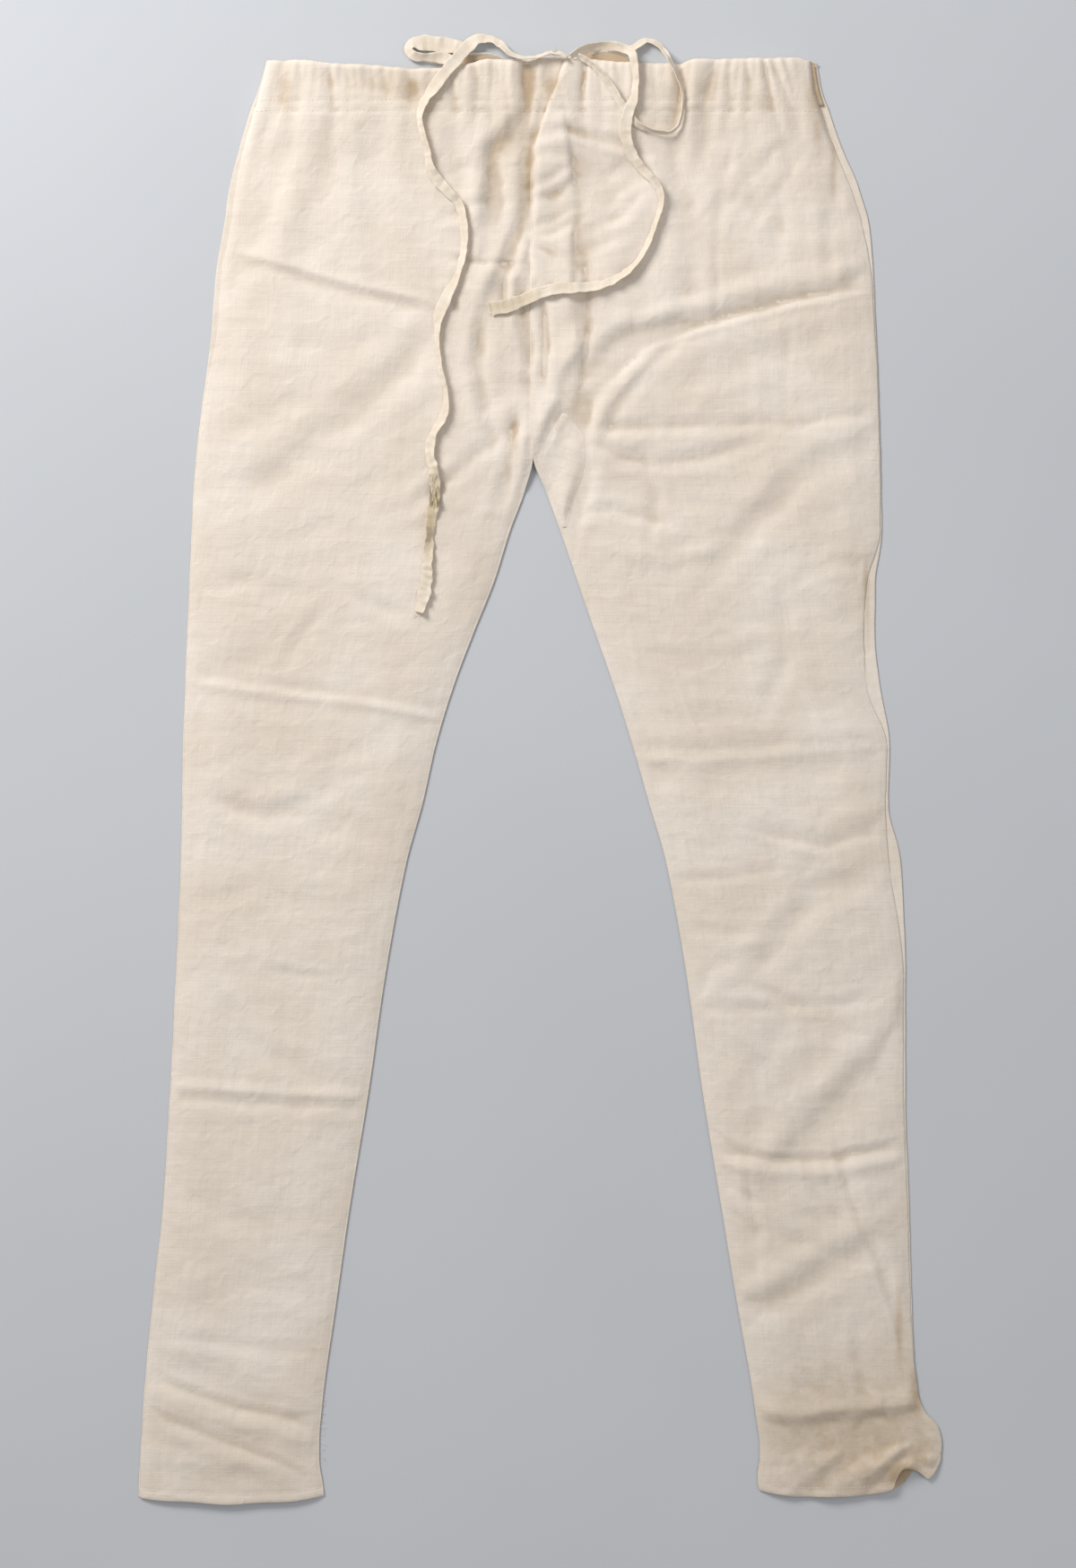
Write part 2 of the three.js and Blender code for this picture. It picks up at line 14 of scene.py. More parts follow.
import bpy
import numpy as np
from numpy.typing import NDArray
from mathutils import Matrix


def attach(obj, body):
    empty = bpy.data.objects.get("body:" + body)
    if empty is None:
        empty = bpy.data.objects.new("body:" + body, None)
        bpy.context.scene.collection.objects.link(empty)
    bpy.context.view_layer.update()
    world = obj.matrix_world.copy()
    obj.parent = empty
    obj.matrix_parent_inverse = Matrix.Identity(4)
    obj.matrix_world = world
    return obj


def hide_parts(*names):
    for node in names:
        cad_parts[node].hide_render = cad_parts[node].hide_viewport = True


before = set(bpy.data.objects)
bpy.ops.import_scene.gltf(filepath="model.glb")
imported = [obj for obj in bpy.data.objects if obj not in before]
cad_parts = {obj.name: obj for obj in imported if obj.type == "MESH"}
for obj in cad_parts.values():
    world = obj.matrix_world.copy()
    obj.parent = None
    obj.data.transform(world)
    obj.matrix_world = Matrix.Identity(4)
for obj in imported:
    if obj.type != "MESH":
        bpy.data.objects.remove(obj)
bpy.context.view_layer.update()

log = logging.getLogger("drawstring_pants")

Array = NDArray[np.float64]
Colour = tuple[float, float, float, float]
Piece = bpy.types.Object
Material = bpy.types.Material

MM = 0.001
BODY = "root"
GARMENT_LENGTH = 1008.0
CASING_DEPTH = 36.0
CASING_STITCHES = (30.6, 38.0)  # distance down of the casing's two rows of stitches
HEM_STITCHES = 6.2  # distance from a hem up to its row of stitches
CROTCH_DOWN = 279.0
CENTRE_SEAM = -6.0
SHELL = 0.55  # drawn thickness of one layer of cloth
LAYER = 1.3  # height that one layer takes in the stack
FOLD_DEPTH = 4.5  # distance down over which the front folds over at the waist
FOLD_LOW = 3.2  # height of that fold's edge
FOLD_START = -35.0  # degrees; the fold begins this far below its edge
TO_HEM = 20  # power by which the rows of a panel are drawn to its hem


class Side(Enum):
    """A leg of the pants, as seen from above."""

    LEFT = "left"
    RIGHT = "right"


# ---- tables of the form, in millimetres ----

# down, then across for: left back, left front, left inner, right inner, right front, right back
OUTLINE = np.array([
    [0, -191, -190.5, 4.5, 19, 188.5, 193],
    [20, -196, -195, 2, 11, 191, 196],
    [40, -203, -200.5, 0, 3, 196.5, 202],
    [65, -210, -207, -5, -4.5, 205.5, 211],
    [90, -216.5, -212, -6, -6, 216, 221.5],
    [120, -221, -216, -6, -6, 225, 229.5],
    [150, -226, -222, -6, -6, 230.5, 232],
    [190, -229, -225, -6, -6, 233, 234],
    [230, -234, -232.5, -6, -6, 235, 235.5],
    [279, -240, -239, -6, -4, 236.5, 237],
    [300, -241.5, -240.5, -11, 4, 237, 237.5],
    [330, -243, -242, -22, 15, 237, 238],
    [365, -244.5, -243.5, -33, 27, 228, 233.5],
    [400, -246, -245, -47, 39, 225.5, 233],
    [440, -247.5, -246.5, -62, 53, 228, 237],
    [480, -249, -248, -74, 65.5, 241.5, 243.5],
    [520, -249.5, -248.5, -83, 77, 240.5, 242.5],
    [560, -250.5, -249.5, -94, 88.5, 243, 251],
    [640, -254, -253, -109, 103, 253, 254.5],
    [720, -258, -257, -120.5, 114, 253, 254.5],
    [800, -263, -262, -133.5, 127, 256, 257],
    [870, -270.5, -269.5, -143.5, 138.5, 258, 259],
    [930, -276, -275, -152, 149, 263, 261],
    [945, -277, -276, -153.5, 151, 269, 261.5],
    [955, -277.5, -276.5, -154.5, 152.5, 277.5, 262],
    [966, -278.5, -277.5, -155, 154, 280, 262],
    [977, -279, -278, -155, 154, 279, 261.5],
    [986, -279.5, -278.5, -154, 152.5, 278, 260],
    [991, -279.7, -278.7, -153, 152.5, 277, 259.5],
    [1004, -280, -279, -151.5, 155, 276, 258],
])
EDGE_NAMES = ("left_back", "left_front", "left_inner", "right_inner", "right_front", "right_back")

# across, dip of the folded waist edge of the front
WAIST_EDGE = np.array([
    [-192, 3], [-172, 1.5], [-146, 4], [-118, 5.5], [-86, 8], [-62, 7], [-34, 1], [-20, 1.5],
    [0, 0.5], [20, 0], [52, 3], [95, 4.5], [107, 1.5], [150, 0.5], [172, 0], [188, 2], [194, 4],
])
# across, dip of the waist edge of the back, which shows above the front in two places
BACK_WAIST_EDGE = np.array([
    [-192, 4], [-172, 2.6], [-146, 5], [-118, 6.5], [-86, 9], [-66, 6], [-57, 0], [-49, -3],
    [-37, -3], [-29, -0.5], [-20, 2.6], [0, 1.6], [18, 1], [26, -2], [33, -4.6], [52, -4.6],
    [59, -2], [66, 3], [95, 5.6], [107, 2.6], [150, 1.6], [172, 1.1], [188, 3], [194, 5],
])
# across, down of the hem of the right front: a notch and a turned-up corner at its outer end
RIGHT_FRONT_HEM = np.array([
    [155, 999], [168, 1001.5], [182, 1003], [213, 1002.8], [238, 1000], [245.5, 997.5],
    [249.5, 985.4], [253, 982.8], [259, 984], [264.5, 987], [269.3, 990.4], [273, 986.2],
    [276, 979],
])
# across, down of the hem of the right back
RIGHT_BACK_HEM = np.array([
    [155, 998], [182, 1002], [213, 1002], [238, 999.5], [246, 997.8], [251, 995], [255, 990],
    [258, 984],
])

# Troughs between the gathers of the waist: across, width, depth, reach, lean
GATHERS = np.array([
    [-176.5, 5, 3.2, 70, -0.3], [-166, 4, 1.8, 34, -0.1], [-156, 4, 1.2, 30, 0],
    [-145, 4.5, 2.0, 44, 0], [-135, 4.5, 1.8, 40, 0.05], [-122, 5, 1.2, 36, 0],
    [-107, 5, 1.4, 40, 0], [-91, 5, 2.0, 38, 0], [-76, 5, 1.5, 34, 0], [-60, 5, 1.8, 40, 0],
    [-45, 4.5, 1.8, 46, 0], [-34, 4.5, 1.4, 60, 0], [-23, 4.5, 1.5, 44, 0],
    [-9.5, 4.5, 3.0, 40, 0.05], [30.5, 3.5, 3.0, 30, 0], [42, 4.5, 1.4, 48, 0],
    [54, 5, 1.8, 50, 0], [67, 5, 1.8, 40, 0], [80, 5, 1.4, 34, 0], [99, 5, 3.0, 70, -0.1],
    [121, 6, 2.4, 90, -0.15], [134, 5, 2.0, 60, -0.1], [144, 4, 1.8, 34, 0],
    [154, 4, 2.8, 38, 0.25], [163, 4, 2.6, 36, 0.3], [172, 4.5, 2.0, 40, 0.2],
    [183, 4.5, 3.0, 70, 0.35],
])

# Outline of the crotch gusset: down, inner across, outer across
GUSSET = np.array([
    [249, 15, 18], [258, 9, 26], [266, 4.5, 30.5], [280, -1.5, 31], [292, 2.5, 29],
    [306, 7.8, 24], [328, 15.6, 18],
])

# A crease's height, half width, power of its profile, skew, and route
Fold = tuple[float, float, float, float, tuple[tuple[float, float], ...]]


def soft(height: float, width: float, *route: tuple[float, float], skew: float = 1.0) -> Fold:
    """A rounded fold."""
    return height, width, 2.0, skew, route


def crisp(height: float, width: float, *route: tuple[float, float], skew: float = 1.0,
          power: float = 1.25) -> Fold:
    """A pressed or pinched fold."""
    return height, width, power, skew, route


# Creases of the front: height (a trough is negative), half width, and the route as (across, down)
# places. A skew over 1 makes the side to the right of a run towards the hem steeper, and the
# other side gentler.
CREASES: tuple[Fold, ...] = (
    # left hip and thigh
    crisp(1.3, 3.4, (-223, 133), (-180, 144), (-132, 158), (-92, 167)),
    crisp(-2.6, 3.4, (-223, 139), (-180, 149), (-132, 163), (-92, 172), skew=1.6),
    soft(-3.2, 9, (-175, 44), (-184, 84), (-199, 120)),
    soft(-1.3, 9, (-150, 50), (-150, 84), (-158, 112)),
    soft(1.3, 10, (-163, 62), (-169, 96), (-176, 122)),
    soft(-1.4, 8, (-116, 60), (-122, 96), (-118, 120)),
    soft(-2.4, 10, (-172, 282), (-140, 258), (-108, 228)),
    soft(-1.2, 6, (-108, 232), (-92, 214), (-83, 198)),
    soft(1.2, 9, (-178, 268), (-146, 240), (-118, 216)),
    soft(-1.1, 7, (-170, 202), (-140, 198), (-112, 200)),
    soft(-1.0, 5, (-210, 219), (-229, 217)),
    soft(-1.1, 6, (-205, 255), (-178, 243), (-150, 240)),
    soft(-1.2, 7, (-225, 300), (-196, 292), (-168, 298)),
    soft(-1.0, 6, (-160, 330), (-136, 318), (-118, 300)),
    soft(-1.1, 5, (-241, 368), (-210, 366), (-184, 371)),
    soft(-1.1, 4, (-136, 373), (-112, 383)),
    crisp(-1.3, 4, (-172, 414), (-166, 404), (-160, 396)),
    soft(-1.2, 9, (-215, 424), (-190, 414), (-168, 408)),
    crisp(-2.2, 4, (-70, 299), (-44, 277), (-20, 260)),
    soft(1.3, 5, (-74, 289), (-48, 267), (-26, 250)),
    soft(-1.3, 4, (-64, 279), (-36, 260)),
    soft(-2.6, 4, (-15, 246), (-17.5, 264), (-21, 282), (-24, 294)),
    crisp(1.5, 2.6, (-254, 434), (-200, 442), (-120, 451), (-64, 462)),
    soft(-0.9, 3.4, (-252, 429), (-198, 436), (-118, 445), (-70, 455)),
    soft(-0.9, 7, (-250, 444), (-185, 451), (-118, 461), (-66, 470)),
    soft(-2.1, 6, (-207, 524), (-189, 530), (-171, 522), (-158, 516)),
    soft(-1.4, 7, (-158, 533), (-140, 536), (-124, 542)),
    soft(-1.0, 7, (-150, 500), (-118, 478), (-92, 468)),
    soft(1.0, 8, (-214, 512), (-186, 518), (-166, 508)),
    soft(-1.3, 6, (-212, 672), (-200, 689), (-172, 704)),
    soft(-0.9, 5, (-246, 640), (-215, 636), (-186, 641)),
    crisp(-1.2, 2.6, (-178, 637), (-160, 640)),
    crisp(1.9, 3.2, (-259, 718), (-220, 719), (-171, 723), (-123, 724)),
    soft(-1.3, 4, (-257, 725), (-220, 726), (-170, 730), (-126, 731)),
    soft(-0.9, 8, (-240, 800), (-200, 815), (-170, 805)),
    soft(-1.0, 7, (-236, 590), (-204, 582), (-170, 590)),
    soft(-0.9, 8, (-228, 862), (-196, 852), (-168, 858)),
    # left ankle
    crisp(-1.3, 4, (-272, 889), (-241, 894), (-195, 899), (-158, 903)),
    crisp(-3.1, 4, (-276, 917), (-252, 926), (-226, 936), (-195, 944), (-156, 950), skew=1.5),
    soft(-2.0, 8, (-246, 916), (-224, 922), (-200, 934)),
    soft(1.4, 6, (-270, 930), (-240, 940), (-206, 952), (-176, 957)),
    crisp(-2.5, 3.6, (-277, 943), (-248, 953), (-217, 966), (-189, 975), (-160, 991), skew=1.4),
    soft(1.3, 6, (-240, 962), (-214, 974), (-186, 984)),
    soft(-1.2, 6, (-256, 984), (-226, 988), (-200, 994)),
    soft(-1.1, 5, (-262, 964), (-236, 972), (-216, 980)),
    # centre front
    soft(-3.7, 8, (-8, 4), (-9.6, 37), (-20, 57), (-31, 67), (-34, 94), skew=0.7),
    soft(1.6, 6, (-20, 10), (-21, 36), (-31, 52), (-41, 66), (-43, 92), skew=1.4),
    crisp(-3.0, 4.6, (-7.5, 72), (-6.8, 94), (-9, 112), (-17, 131), (-24, 156), (-25, 172), skew=1.6),
    soft(1.6, 3.4, (-2.5, 78), (-2, 112), (-3, 148), (-6, 166), skew=0.6),
    soft(1.6, 5, (-17, 84), (-18, 104), (-26, 126), (-34, 150), skew=1.6),
    crisp(-1.9, 3, (-52, 141), (-40, 143.5), (-29, 144), skew=1.8),
    soft(1.6, 7, (-40, 98), (-41, 116), (-40, 132)),
    soft(1.3, 4, (-48, 148), (-28, 151)),
    soft(-1.6, 4, (-29, 100), (-28, 118), (-36, 136)),
    crisp(-1.3, 3, (-56, 108), (-48, 104), (-36, 102)),
    crisp(-1.1, 3, (-62, 80), (-54, 76), (-44, 80)),
    crisp(-2.8, 3, (-12, 173), (-10.5, 186), (-8.5, 200)),
    crisp(-2.4, 2.6, (3, 186), (4, 202), (3, 217)),
    soft(-1.4, 3.4, (-6, 170), (-7, 215), (-8, 268)),
    soft(-2.2, 4.5, (-42, 194), (-44, 214), (-41, 234), (-35, 256), skew=0.8),
    soft(1.3, 5, (-52, 192), (-52, 218), (-47, 242)),
    soft(0.8, 6, (-34, 196), (-33, 238)),
    soft(0.8, 5, (-21, 186), (-20, 216), (-16, 240)),
    soft(1.4, 3.5, (-9.5, 250), (-12, 266), (-15, 282)),
    crisp(-1.3, 4, (-60, 172), (-48, 186), (-42, 200)),
    # right front, beside the seam
    soft(-1.7, 3.2, (5, 54), (22, 52.5), (40, 56), (57, 62)),
    soft(2.4, 5, (17, 60), (20.5, 82), (21.5, 110), (20, 153), skew=2.2),
    crisp(-1.3, 2.4, (0.5, 88), (7, 85), (13, 81)),
    crisp(-1.3, 2.4, (2, 98.5), (9, 97), (15, 93)),
    crisp(-1.5, 2.6, (-1, 118), (9, 114), (19, 108)),
    crisp(-1.2, 2.4, (3, 124), (12, 121), (19, 117)),
    crisp(-1.2, 2.6, (1, 134), (9, 137), (16, 141)),
    crisp(-1.3, 3, (-1, 70), (6, 66), (13, 68)),
    soft(-2.2, 12, (33, 76), (34, 110), (32, 150)),
    soft(-3.2, 15, (34, 94), (52, 84), (74, 70)),
    soft(1.6, 9, (50, 144), (66, 120), (72, 100)),
    crisp(-1.0, 2.6, (44, 85), (52, 79)),
    crisp(-1.0, 2.6, (56, 93), (67, 88)),
    crisp(-1.2, 3, (48, 114), (58, 110), (64, 103)),
    crisp(-1.0, 3, (38, 132), (50, 128)),
    soft(-1.0, 6, (38, 92), (52, 110), (60, 128)),
    # crotch and right thigh
    soft(2.0, 4.5, (28, 164), (30, 186), (27, 206), skew=2),
    soft(3.0, 7, (23, 178), (22, 200), (13, 219), (7, 242), (-2, 262), skew=1.7),
    soft(-4.2, 9, (76, 197), (52, 207), (36, 222), (27, 238), (21, 252), skew=0.85),
    crisp(-1.9, 4, (44, 268), (55, 242), (66, 226), (84, 208)),
    crisp(-1.5, 4, (30, 250), (42, 232), (58, 216)),
    soft(1.7, 5, (37, 260), (50, 236), (70, 214)),
    crisp(-5.4, 4.4, (258, 151), (229, 158), (159, 173), (114, 185.6), (70, 198), skew=1.6, power=1.5),
    soft(2.6, 7, (258, 139), (229, 149), (158, 163), (112, 176)),
    soft(1.0, 8, (200, 178), (150, 190), (106, 202)),
    soft(-1.2, 7, (190, 200), (146, 212), (108, 226)),
    crisp(-2.0, 3.6, (60, 259), (90, 257), (127, 256), (178, 255), (242, 247)),
    soft(1.3, 7, (60, 269), (92, 266), (126, 266)),
    crisp(-2.5, 4, (38, 270), (56, 279), (75, 285), (114, 279), (134, 273)),
    soft(-2.0, 9, (150, 324), (178, 290), (228, 273)),
    soft(1.4, 9, (146, 308), (172, 276), (206, 264)),
    soft(-1.6, 7, (136, 341), (150, 324), (172, 304)),
    soft(-2.0, 13, (50, 304), (66, 308)),
    soft(-3.2, 5, (31, 260), (33, 282), (30, 302), (22.5, 326)),
    soft(1.3, 3.5, (16, 246), (24, 256), (33, 266)),
    soft(1.2, 5, (12, 262), (16, 282), (17, 306)),
    crisp(-2.2, 3.4, (36, 318), (52, 316), (78, 322)),
    soft(-1.5, 3.5, (76, 290), (80, 306), (78, 322)),
    crisp(-1.2, 2.6, (134, 62), (125, 100), (122.5, 140), (123, 180)),
    soft(-1.2, 5, (150, 108), (176, 120), (200, 118)),
    soft(-1.2, 7, (100, 92), (112, 124), (106, 154)),
    soft(1.1, 8, (84, 96), (92, 126), (90, 160)),
    soft(-1.3, 5, (176, 60), (170, 92), (166, 120)),
    soft(-1.2, 4, (206, 90), (200, 118), (202, 146)),
    soft(-1.0, 6, (180, 214), (206, 226), (230, 222)),
    crisp(-0.9, 2.6, (172, 196), (171, 232), (173, 250)),
    soft(1.2, 4, (60, 345), (88, 352), (112, 346)),
    soft(-1.2, 4, (186, 362), (206, 352), (222, 356)),
    soft(-1.4, 5, (170, 392), (172, 416), (164, 436)),
    soft(-1.3, 5, (192, 384), (206, 396), (222, 390)),
    soft(-1.1, 5, (84, 418), (110, 424), (132, 418)),
    # right knee and shin
    soft(1.1, 6, (62, 472), (124, 469), (176, 467), (214, 470)),
    crisp(1.6, 3.4, (64, 489), (110, 490.5), (156, 488), (207, 482.5), (250, 482)),
    soft(-1.7, 9, (72, 501), (140, 500), (190, 494), (238, 489)),
    soft(-0.5, 4, (70, 480), (116, 480), (160, 477)),
    crisp(-2.6, 5, (228, 541), (212, 545), (198, 549.5), (184, 546), (172, 543), skew=1.5, power=1.5),
    soft(1.5, 7, (176, 534), (198, 538), (222, 531)),
    crisp(-1.5, 3, (91, 575), (108, 573), (124, 571), (147, 569)),
    soft(-1.2, 5, (186, 578), (212, 574), (250, 582)),
    soft(-2.3, 7, (166, 616), (184, 594), (214, 576)),
    soft(1.4, 8, (150, 612), (166, 590), (176, 566)),
    soft(-1.3, 4, (98, 606), (124, 610), (150, 609)),
    soft(-1.3, 4, (112, 646), (120, 636), (132, 630)),
    crisp(-1.6, 3.4, (104, 663), (150, 663), (196, 661), (216, 658)),
    soft(-1.3, 3, (158, 652), (170, 656)),
    soft(-4.2, 11, (258, 684), (240, 700), (220, 720), (206, 734), skew=0.8),
    soft(2.4, 10, (253, 652), (222, 686), (190, 726), (168, 752)),
    soft(-1.7, 6, (160, 690), (148, 712), (150, 738)),
    soft(-1.3, 5, (126, 690), (136, 706), (138, 728)),
    crisp(-2.9, 3.2, (119, 751), (134, 762), (160, 767.5), (204, 767), (256, 756), skew=1.3),
    soft(1.6, 5, (126, 769), (156, 776), (206, 775.5), (256, 765)),
    crisp(-1.6, 2.8, (145, 780), (146, 794), (150, 813)),
    crisp(-1.2, 2.6, (126, 774), (129, 786), (139, 791)),
    soft(-1.3, 3, (188, 782), (192, 794), (200, 802)),
    soft(1.5, 6, (206, 774), (214, 786), (218, 800)),
    crisp(-2.4, 3, (211, 778), (222, 812), (236, 842), (257, 902), skew=0.7),
    soft(1.3, 6, (232, 800), (246, 836), (256, 870)),
    soft(2.0, 8, (141, 862), (170, 848), (208, 826)),
    soft(-2.6, 8, (140, 876), (168, 862), (204, 842)),
    soft(-1.4, 5, (140, 822), (160, 816), (178, 822)),
    soft(-1.3, 4, (130, 806), (146, 820), (148, 838)),
    soft(-1.6, 4, (222, 894), (221, 908), (224, 924)),
    soft(-1.4, 5, (182, 900), (190, 922), (200, 932)),
    # right ankle
    crisp(2.4, 5, (150, 943), (180, 945.5), (204, 942), (231, 941.5), (264, 936), skew=0.7),
    soft(-2.6, 8, (156, 961), (180, 960), (204, 955), (224, 957), (254, 951), skew=1.2),
    soft(-3.0, 13, (158, 966), (200, 963), (248, 960), skew=1.2),
    crisp(-2.2, 3, (206, 964), (218, 958), (229, 954.5), (247, 959.5), (262, 962), skew=1.4),
    crisp(-1.5, 3, (176, 968), (190, 963), (200, 968), (212, 966)),
    soft(-2.6, 4.6, (224, 963), (211, 980), (196, 995), (186, 1004)),
    soft(3.2, 6, (252, 972), (226, 986), (208, 998)),
    crisp(-1.9, 3, (228, 1000), (236, 990), (246, 981)),
    crisp(-1.5, 3, (164, 978), (176, 984), (182, 994)),
    crisp(-2.4, 2.8, (256, 974), (266, 968.5), (281, 971)),
    crisp(-2.0, 2.8, (267, 984), (258, 973)),
    crisp(-2.6, 2.8, (270, 948), (262, 955), (264, 968)),
    soft(2.2, 4, (266, 958), (277, 964)),
    soft(1.8, 4, (262, 980), (274, 976)),
    # right hip, fine lines, and the left half of the casing
    crisp(0.9, 3, (150, 68), (132, 84), (114, 104)),
    crisp(-0.9, 2.6, (160, 70), (146, 86), (130, 104)),
    crisp(-0.8, 2.6, (178, 74), (166, 92), (152, 112)),
    soft(-2.0, 8, (-130, 17), (-102, 21), (-78, 30)),
)

# Yellowed places and painted shade (folds, waist gaps, the right hem's notch, the ankles): across,
# down, radius across, radius down, strength
STAINS_AND_SHADE = np.array([
    [227, 366, 2.5, 20, 0.6], [227, 402, 2.5, 30, 0.45], [189, 28, 5, 12, 0.5],
    [193, 50, 4, 16, 0.6], [204, 76, 3, 26, 0.55], [-177, 26, 4.5, 18, 0.5],
    [-9, 84, 5, 14, 0.5], [-13, 112, 4, 18, 0.45], [-27, 60, 9, 16, 0.4],
    [250, 884, 3, 24, 0.5], [262, 930, 5, 18, 0.45], [266, 972, 6, 10, 0.35],
    [251, 987, 8, 7, 1.0], [60, 152, 8, 10, 0.4], [-17, 268, 3, 16, 0.45],
    [9, 22, 7, 14, 0.4], [156, 34, 9, 7, 0.4], [-92, 24, 14, 8, 0.3],
    [-78, 40, 10, 8, 0.3], [-269, 990, 10, 9, 0.15], [-8, 20, 4, 16, 0.35],
    [-10, 60, 22, 34, 0.22], [36, 112, 26, 36, 0.16], [120, 60, 22, 22, 0.12],
    [-60, 290, 40, 40, 0.1], [60, 280, 40, 40, 0.1], [215, 970, 90, 66, 0.62],
    [-215, 985, 90, 70, 0.26], [-115, 16, 80, 20, 0.34], [110, 18, 80, 22, 0.26],
    [215, 850, 70, 80, 0.2], [-20, 30, 26, 26, 0.14], [-172, 70, 14, 30, 0.12],
])


# ---- numbers ----

def ease(x: Array) -> Array:
    """A smooth step: 0 below 0, 1 above 1, 3x squared less 2x cubed between."""
    x = np.clip(x, 0.0, 1.0)
    return x * x * (3.0 - 2.0 * x)


def bell(x: Array, width: float, middle: float = 0.0) -> Array:
    """A bell over x: exp(-s^2), with s the distance from its middle in widths."""
    return np.exp(-((x - middle) / width) ** 2)


def srgb(red: int, green: int, blue: int) -> Colour:
    """The linear colour of three screen values.

    Args:
        red: The red value, from 0 to 255.
        green: The green one.
        blue: The blue one.

    Returns:
        The colour, opaque.
    """
    def linear(value: int) -> float:
        """One value's share: the power 2.4, but for the darkest."""
        share = value / 255.0
        return share / 12.92 if share <= 0.04045 else ((share + 0.055) / 1.055) ** 2.4
    return (linear(red), linear(green), linear(blue), 1.0)


def to_world(across: Array, down: Array, height: Array) -> Array:
    """Points in metres of places on the garment at a height above the surface."""
    return np.stack([across, GARMENT_LENGTH / 2 - down, height], axis=-1) * MM


class Curve:
    """A smooth curve through knots that turns back only at knots."""

    def __init__(self, at: Array, value: Array) -> None:
        """Works out the slopes; a knot's is the harmonic mean of its two sides'.

        Args:
            at: Where the knots are, rising.
            value: Their values.
        """
        self.at = np.asarray(at, float)
        self.value = np.asarray(value, float)
        rise = np.diff(self.value) / np.diff(self.at)
        before, after = rise[:-1], rise[1:]
        total = np.where(before * after > 0, before + after, 1.0)
        inner = np.where(before * after > 0, 2.0 * before * after / total, 0.0)
        self.slope = np.concatenate([rise[:1], inner, rise[-1:]])

    def __call__(self, x: Array) -> Array:
        """Values at x, by a cubic between each two knots, and level beyond the ends.

        Args:
            x: Where the values are wanted.

        Returns:
            The values, in the shape of x.
        """
        x = np.clip(x, self.at[0], self.at[-1])
        k = np.clip(np.searchsorted(self.at, x, side="right") - 1, 0, len(self.at) - 2)
        span = self.at[k + 1] - self.at[k]
        t = (x - self.at[k]) / span
        start = self.value[k] * (1 + 2 * t) * (1 - t) ** 2
        end = self.value[k + 1] * t * t * (3 - 2 * t)
        bend = self.slope[k] * t * (1 - t) ** 2 - self.slope[k + 1] * t * t * (1 - t)
        return start + end + bend * span


@dataclass(frozen=True)
class Rumple:
    """Seeded smooth noise over the cloth, from about -1 to 1.

    Each knot of a lattice has a random slope, and a place blends the slopes of the four knots
    round it by quintic weights. The lattice may be stretched and turned.
    """

    seed: int
    cell_across: float
    cell_down: float
    turn: float = 0.0
    size: int = 64

    def __call__(self, across: Array, down: Array) -> Array:
        """Noise at places.

        Args:
            across: Places across.
            down: Places down.

        Returns:
            The noise, in the shape of the inputs.
        """
        angles = np.random.default_rng(self.seed).uniform(0, 2 * np.pi, (self.size, self.size))
        cos, sin = math.cos(math.radians(self.turn)), math.sin(math.radians(self.turn))
        x = (across * cos + down * sin) / self.cell_across + 17.3
        y = (down * cos - across * sin) / self.cell_down + 9.1
        left, low = np.floor(x).astype(int), np.floor(y).astype(int)
        fx, fy = x - left, y - low

        def corner(i: int, j: int) -> Array:
            """Slope of the knot i to the right and j below, times the way from it."""
            angle = angles[(left + i) % self.size, (low + j) % self.size]
            return np.cos(angle) * (fx - i) + np.sin(angle) * (fy - j)

        wx = fx ** 3 * (fx * (fx * 6 - 15) + 10)
        wy = fy ** 3 * (fy * (fy * 6 - 15) + 10)
        upper = corner(0, 0) * (1 - wx) + corner(1, 0) * wx
        lower = corner(0, 1) * (1 - wx) + corner(1, 1) * wx
        return (upper * (1 - wy) + lower * wy) * 1.5


EDGES = {name: Curve(OUTLINE[:, 0], OUTLINE[:, k + 1]) for k, name in enumerate(EDGE_NAMES)}
WAIST = Curve(*WAIST_EDGE.T)
BACK_WAIST = Curve(*BACK_WAIST_EDGE.T)
FRONT_HEM = Curve(*RIGHT_FRONT_HEM.T)
BACK_HEM = Curve(*RIGHT_BACK_HEM.T)
GUSSET_INNER = Curve(*GUSSET[:, [0, 1]].T)
GUSSET_OUTER = Curve(*GUSSET[:, [0, 2]].T)


def left_hem(share: Array, lowest: float) -> Array:
    """Distance down of the left leg's hem, whose corners are 4 and 5 mm above its middle."""
    return lowest - (4 + share) * (1 - np.sin(np.pi * share))


def left_front_hem(share: Array) -> Array:
    """The hem of the left front at a share of the way across, with a slight wave."""
    return left_hem(share, GARMENT_LENGTH) + 0.5 * np.sin(share * 17)


def right_hem(curve: Curve, share: Array) -> Array:
    """Distance down of a hem of the right leg at a share of the way along its curve."""
    return curve(curve.at[0] + share * (curve.at[-1] - curve.at[0]))


